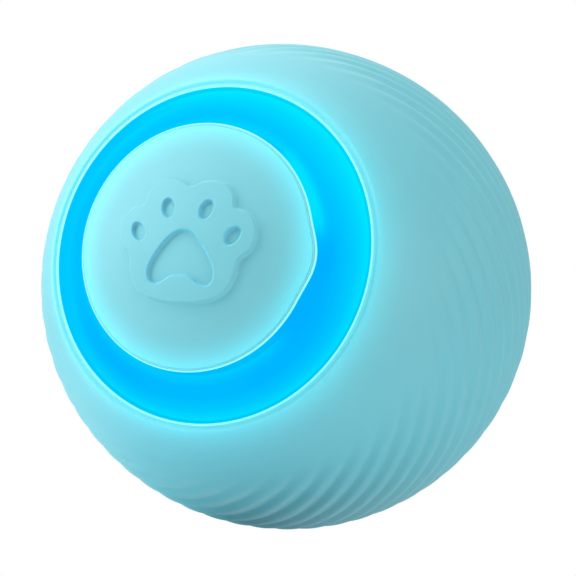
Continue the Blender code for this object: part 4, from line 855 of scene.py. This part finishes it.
printCircuit(insideMaterials["circuitBoard"])
markAlong(insideMaterials["steel"], "Y", 500, (0.36, 0.36, 0.38), 0.30)
markAlong(insideMaterials["brass"], "Y", 700, (0.50, 0.34, 0.12), 0.30)
markAlong(insideMaterials["ballastSteel"], "X", 260, (0.24, 0.24, 0.25), 0.35)
markAlong(insideMaterials["batteryWrap"], "X", 55, (0.12, 0.30, 0.62), 0.35)
markAlong(insideMaterials["leadJacket"], "X", 320, (0.36, 0.03, 0.03), 0.30)


def paintInside():
    for finish, (*_, members) in insideFinishes.items():
        if finish == "steel":
            members += tuple(node for node in nodes if "screw" in node)
        for node in members:
            mesh = nodes[node].data
            mesh.materials.clear()
            mesh.materials.append(insideMaterials[finish])


paintInside()
print("inside painted")


# What shows when the front cap is off: the hub in its bearing, the button and the charging port

hub = {
    "face": 0.0294008,
    "faceWall": 0.0012,
    "radius": 0.0100,
    "bore": 0.0086,
    "shoulder": (0.0128, 0.0249),
    "plateRadius": 0.0230014,
    "plateEnds": (0.0217, 0.0237),
    "edgeRound": 0.0006,
    "dish": (0.0079, 0.00025),      # the face is a little lower inside a raised rim
    "steps": 192,
}
bearing = {
    "inner": 0.0103,
    "outer": 0.0120,
    "flange": 0.0136,
    "ends": (0.0252, 0.0262, 0.0285008),
    "edgeRound": 0.0004,
}
button = {
    "middle": 0.0041968,            # above the ball's axis
    "radius": 0.0025026,
    "top": 0.0302008,
    "flange": (0.0036, 0.0270, 0.0279),
    "dish": 0.00030,
    "edgeRound": 0.0005,
    "gap": 0.0003,
}
port = {
    "middle": -0.0030014,
    "halfSize": (0.00445, 0.0016),
    "corner": 0.00135,
    "wall": 0.0003,
    "ends": (0.0195, 0.0291008),
    "depth": 0.0062,
    "slotGap": 0.0003,
    "tongueHalfSize": (0.0031, 0.00035),
    "tongueDrop": 0.0010,
    "contactPitch": 0.0005,
    "contactHalfRow": 5.25,         # in pitches
    "tongueRoot": 0.0002,           # how deep the tongue stands in the port's floor
}


def smoothRectangle(halfWidth, halfHeight, corner, out, middle, cornerSteps=8):
    # the points of a rectangle with round corners, across the axis
    points = []
    for quarter in range(4):
        x = (halfWidth - corner) * (1 if quarter in (0, 3) else -1)
        z = (halfHeight - corner) * (1 if quarter < 2 else -1)
        for step in range(cornerSteps + 1):
            turn = math.radians(90 * quarter + 90 * step / cornerSteps)
            points.append((x + corner * math.cos(turn), -out, middle + z + corner * math.sin(turn)))
    return points


def raiseOutline(name, outline, length):
    # a solid of the outline's shape that reaches out by the length
    deselectAll()
    bpy.ops.mesh.primitive_circle_add(vertices=len(outline), radius=0.001, fill_type="NGON")
    piece = bpy.context.object
    piece.name = piece.data.name = name
    for vertex, place in zip(piece.data.vertices, outline):
        vertex.co = place
    bpy.ops.object.mode_set(mode="EDIT")
    bpy.ops.mesh.select_all(action="SELECT")
    bpy.ops.mesh.extrude_region_move(TRANSFORM_OT_translate={"value": (0, -length, 0)})
    return piece


def closeSolid():
    bpy.ops.mesh.select_all(action="SELECT")
    bpy.ops.mesh.normals_make_consistent(inside=False)
    bpy.ops.object.mode_set(mode="OBJECT")


def cutAway(piece, cutter):
    pick(piece)
    cut = piece.modifiers.new("cut", "BOOLEAN")
    cut.operation = "DIFFERENCE"
    cut.object = cutter
    bpy.ops.object.modifier_apply(modifier="cut")
    bpy.data.objects.remove(cutter)


def buildHub():
    low, high = hub["plateEnds"]
    face, soft = hub["face"], hub["edgeRound"]
    dishRadius, dishDepth = hub["dish"]
    section = rounded([
        (0, face - dishDepth, 0),
        (dishRadius - 0.0004, face - dishDepth, 0.0003),
        (dishRadius, face, 0.0003),
        (hub["radius"], face, soft),
        (hub["radius"], hub["shoulder"][1], 0.0002),
        (*hub["shoulder"], 0.0003),
        (hub["shoulder"][0], high, 0.0002),
        (hub["plateRadius"], high, 0.0003),
        (hub["plateRadius"], low, 0.0003),
        (hub["bore"], low, 0.0003),
        (hub["bore"], face - hub["faceWall"], 0.0003),
        (0, face - hub["faceWall"], 0),
    ])
    plate = spinSection("frontPlate", section, frontSide, hub["steps"], meetsAxis=True)
    start = face - hub["faceWall"] * 1.5
    halfWidth, halfHeight = (half + port["slotGap"] for half in port["halfSize"])
    slot = raiseOutline("slotCutter", smoothRectangle(
        halfWidth, halfHeight, port["corner"] + port["slotGap"], start, port["middle"]), hub["faceWall"] * 2)
    closeSolid()
    cutAway(plate, slot)
    hole = button["radius"] + button["gap"]
    opening = raiseOutline("holeCutter", smoothRectangle(
        hole, hole, hole - 0.00001, start, button["middle"], 16), hub["faceWall"] * 2)
    closeSolid()
    cutAway(plate, opening)
    smooth(plate, 30)
    dress(plate, insideMaterials["framePlastic"], "drive_unit", "frame_plastic", "front_plate")


def buildBearings():
    flangeIn, flangeOut, end = bearing["ends"]
    soft = bearing["edgeRound"]
    section = rounded([
        (bearing["outer"], end, soft), (bearing["outer"], flangeOut, 0.0001),
        (bearing["flange"], flangeOut, soft), (bearing["flange"], flangeIn, soft),
        (bearing["inner"], flangeIn, soft), (bearing["inner"], end, soft),
    ])
    front = spinSection("bearingFront", section, frontSide, hub["steps"])
    smooth(front, 30)
    rear = copyTurned(front, "bearingRear")
    dress(front, insideMaterials["whitePlastic"], "shell", "white_plastic", "bearing_front")
    dress(rear, insideMaterials["whitePlastic"], "shell", "white_plastic", "bearing_rear")


def buildButton():
    top, radius = button["top"], button["radius"]
    flangeRadius, flangeIn, flangeOut = button["flange"]
    section = rounded([
        (0, top - button["dish"], 0), (radius * 0.35, top - button["dish"] * 0.9, 0.0004),
        (radius * 0.72, top, 0.0004), (radius, top, button["edgeRound"]),
        (radius, flangeOut, 0.0001), (flangeRadius, flangeOut, 0.0002),
        (flangeRadius, flangeIn, 0.0002), (0, flangeIn, 0),
    ], 7)
    piece = spinSection("powerButton", section, frontSide, 96, meetsAxis=True)
    piece.data.transform(Matrix.Translation((0, 0, button["middle"])))
    smooth(piece, 30)
    dress(piece, insideMaterials["whitePlastic"], "power_button", "white_plastic", "power_button")


def makeContacts():
    # black plastic with a row of gilt contacts
    material = grainedMaterial("portTongue", (0.012, 0.012, 0.013), 0.38)
    tree = material.node_tree
    split = addNode(tree, "SeparateXYZ")
    tree.links.new(tree.nodes["Texture Coordinate"].outputs["Object"], split.inputs[0])
    turns = mathNode(tree, "MULTIPLY", split.outputs["X"], 2 * math.pi / port["contactPitch"])
    stripe = mathNode(tree, "GREATER_THAN", mathNode(tree, "SINE", turns), 0.1)
    inRow = mathNode(tree, "LESS_THAN", mathNode(tree, "ABSOLUTE", split.outputs["X"]),
                     port["contactPitch"] * port["contactHalfRow"])
    gilt = mathNode(tree, "MULTIPLY", stripe, inRow)
    overlay(material, gilt, (0.80, 0.58, 0.22))
    tree.links.new(gilt, tree.nodes["Principled BSDF"].inputs["Metallic"])
    return material


def buildPort():
    low, high = port["ends"]
    can = raiseOutline("chargingPort", smoothRectangle(
        *port["halfSize"], port["corner"], low, port["middle"]), high - low)
    bpy.ops.mesh.inset(thickness=port["wall"])
    bpy.ops.mesh.extrude_region_move(TRANSFORM_OT_translate={"value": (0, port["depth"], 0)})
    bpy.ops.mesh.select_all(action="DESELECT")
    bpy.ops.object.mode_set(mode="OBJECT")
    for edge in can.data.edges:
        edge.select = all(abs(can.data.vertices[i].co.y + high) < 0.000001 for i in edge.vertices)
    bpy.ops.object.mode_set(mode="EDIT")
    bpy.ops.mesh.select_mode(type="EDGE")
    bpy.ops.mesh.bevel(offset=0.00007, segments=2)
    closeSolid()
    smooth(can, 40)
    dress(can, insideMaterials["steel"], "drive_unit", "steel", "charging_port")
    halfWidth, halfHeight = port["tongueHalfSize"]
    floorOut = high - port["depth"]
    tongue = raiseOutline("portTongue", smoothRectangle(
        halfWidth, halfHeight, 0.0001, floorOut - port["tongueRoot"], port["middle"], 3),
        port["depth"] - port["tongueDrop"] + port["tongueRoot"])
    bpy.ops.mesh.bevel(offset=0.00008, segments=2)
    closeSolid()
    smooth(tongue, 40)
    dress(tongue, makeContacts(), "drive_unit", "black_plastic")


buildHub()
buildBearings()
buildButton()
buildPort()
print("hub, bearings, button and port built")


# Floor, world, lights and camera

studio = {
    "floorColor": (0.86, 0.87, 0.88),
    "floorSize": 8.0,
    # by the distance from the ball in metres: how much whiter the camera sees the floor
    "floorFade": ((0.0, 0.10), (0.15, 0.16), (0.35, 0.45), (0.7, 0.78), (1.4, 0.85)),
    "ambient": 0.21,                # for what the world lights; it looks white
    # name: (to the right, up, towards the camera), distance, size, watts
    "lights": {
        "left": ((-1.0, 0.05, 0.0), 0.60, 0.45, 1.05),
        "leftHigh": ((-0.85, 0.60, 0.15), 0.60, 0.45, 2.02),
        "top": ((-0.10, 1.0, 0.15), 0.60, 0.45, 1.85),
        "right": ((1.0, 0.10, 0.70), 0.60, 0.45, 1.20),
        "below": ((0.10, -1.0, -1.0), 0.60, 0.45, 0.90),
        "belowFill": ((0.40, -1.0, -0.80), 0.60, 0.45, 0.60),
        "behind": ((0.0, 1.0, -1.0), 0.60, 0.45, 0.40),
    },
    "fillLights": ("belowFill",),   # these aren't reflected
}
shot = {
    "azimuth": 23.8,
    "elevation": -7.9,
    "roll": 6.6,
    "distance": 0.4988,
    "lens": 187.5,
    "framing": (0.000166, -0.000116),   # how far the camera is moved to its right and up
}


def shotAxes():
    a, e = math.radians(shot["azimuth"]), math.radians(shot["elevation"])
    back = Vector((math.sin(a) * math.cos(e), -math.cos(a) * math.cos(e), math.sin(e)))
    turn = (-back).to_track_quat("-Z", "Y").to_matrix() @ Matrix.Rotation(math.radians(shot["roll"]), 3, "Z")
    return turn, back


def buildCamera():
    turn, back = shotAxes()
    camera = bpy.data.cameras.new("photoCamera")
    camera.lens = shot["lens"]
    camera.sensor_width = 36
    camera.clip_start = 0.01
    viewer = bpy.data.objects.new("photoCamera", camera)
    bpy.context.scene.collection.objects.link(viewer)
    viewer.rotation_euler = turn.to_euler()
    sideways, upward = shot["framing"]
    viewer.location = back * shot["distance"] + turn.col[0] * sideways + turn.col[1] * upward
    bpy.context.scene.camera = viewer


def buildLights():
    turn = shotAxes()[0]
    for name, (aim, distance, size, watts) in studio["lights"].items():
        place = (turn @ Vector(aim)).normalized() * distance
        lamp = bpy.data.lights.new(name, "AREA")
        lamp.energy = watts
        lamp.shape = "DISK"
        lamp.size = size
        holder = bpy.data.objects.new(name, lamp)
        holder.location = place
        holder.rotation_euler = (-place).to_track_quat("-Z", "Y").to_euler()
        holder.visible_camera = False
        holder.visible_glossy = name not in studio["fillLights"]
        bpy.context.scene.collection.objects.link(holder)


def buildWorld():
    world = bpy.data.worlds.new("studio")
    bpy.context.scene.world = world
    world.use_nodes = True
    tree = world.node_tree
    background = tree.nodes["Background"]
    path = addNode(tree, "LightPath")
    seen = mathNode(tree, "MAXIMUM", path.outputs["Is Camera Ray"],
                    mathNode(tree, "MAXIMUM", path.outputs["Is Glossy Ray"],
                             path.outputs["Is Transmission Ray"]))
    strength = addNode(tree, "MapRange")
    strength.inputs["To Min"].default_value = studio["ambient"]
    linkNodes(tree, (seen, strength.inputs["Value"]),
              (strength.outputs["Result"], background.inputs["Strength"]))
    background.inputs["Color"].default_value = (1, 1, 1, 1)


def distanceOnFloor(tree):
    place = addNode(tree, "TexCoord")
    length = addNode(tree, "VectorMath", operation="LENGTH")
    tree.links.new(place.outputs["Object"], length.inputs[0])
    return length.outputs["Value"]


def buildFloor():
    # seen from below it isn't there, because the photograph looks up at the ball a little,
    # and it lets the lamps below shine through
    deselectAll()
    bpy.ops.mesh.primitive_plane_add(size=studio["floorSize"], location=(0, 0, -treadRadius))
    floor = bpy.context.object
    floor.name = "floor"
    material, tree, shader = newMaterial("paleFloor", Roughness=0.9)
    shader.inputs["Base Color"].default_value = (*studio["floorColor"], 1)
    facing = addNode(tree, "NewGeometry")
    path = addNode(tree, "LightPath")
    clear = addNode(tree, "BsdfTransparent")
    mixed = addNode(tree, "MixShader")
    output = tree.nodes["Material Output"]
    letThrough = mathNode(tree, "MAXIMUM", facing.outputs["Backfacing"], path.outputs["Is Shadow Ray"])
    linkNodes(tree, (letThrough, mixed.inputs["Fac"]),
              (shader.outputs["BSDF"], mixed.inputs[1]), (clear.outputs["BSDF"], mixed.inputs[2]),
              (mixed.outputs["Shader"], output.inputs["Surface"]))
    floor.data.materials.append(material)
    reach = studio["floorFade"][-1][0]
    fade = rampNode(tree, [(distance / reach, [white] * 3) for distance, white in studio["floorFade"]],
                    mathNode(tree, "DIVIDE", distanceOnFloor(tree), reach))
    seen = addNode(tree, "Mix", data_type="RGBA")
    seen.inputs["A"].default_value = (0, 0, 0, 1)
    shader.inputs["Emission Strength"].default_value = 1.0
    linkNodes(tree, (path.outputs["Is Camera Ray"], seen.inputs["Factor"]), (fade, seen.inputs["B"]),
              (seen.outputs["Result"], shader.inputs["Emission Color"]))


buildFloor()
buildWorld()
buildLights()
buildCamera()
bpy.context.scene.view_settings.view_transform = "Standard"
print("studio ready")
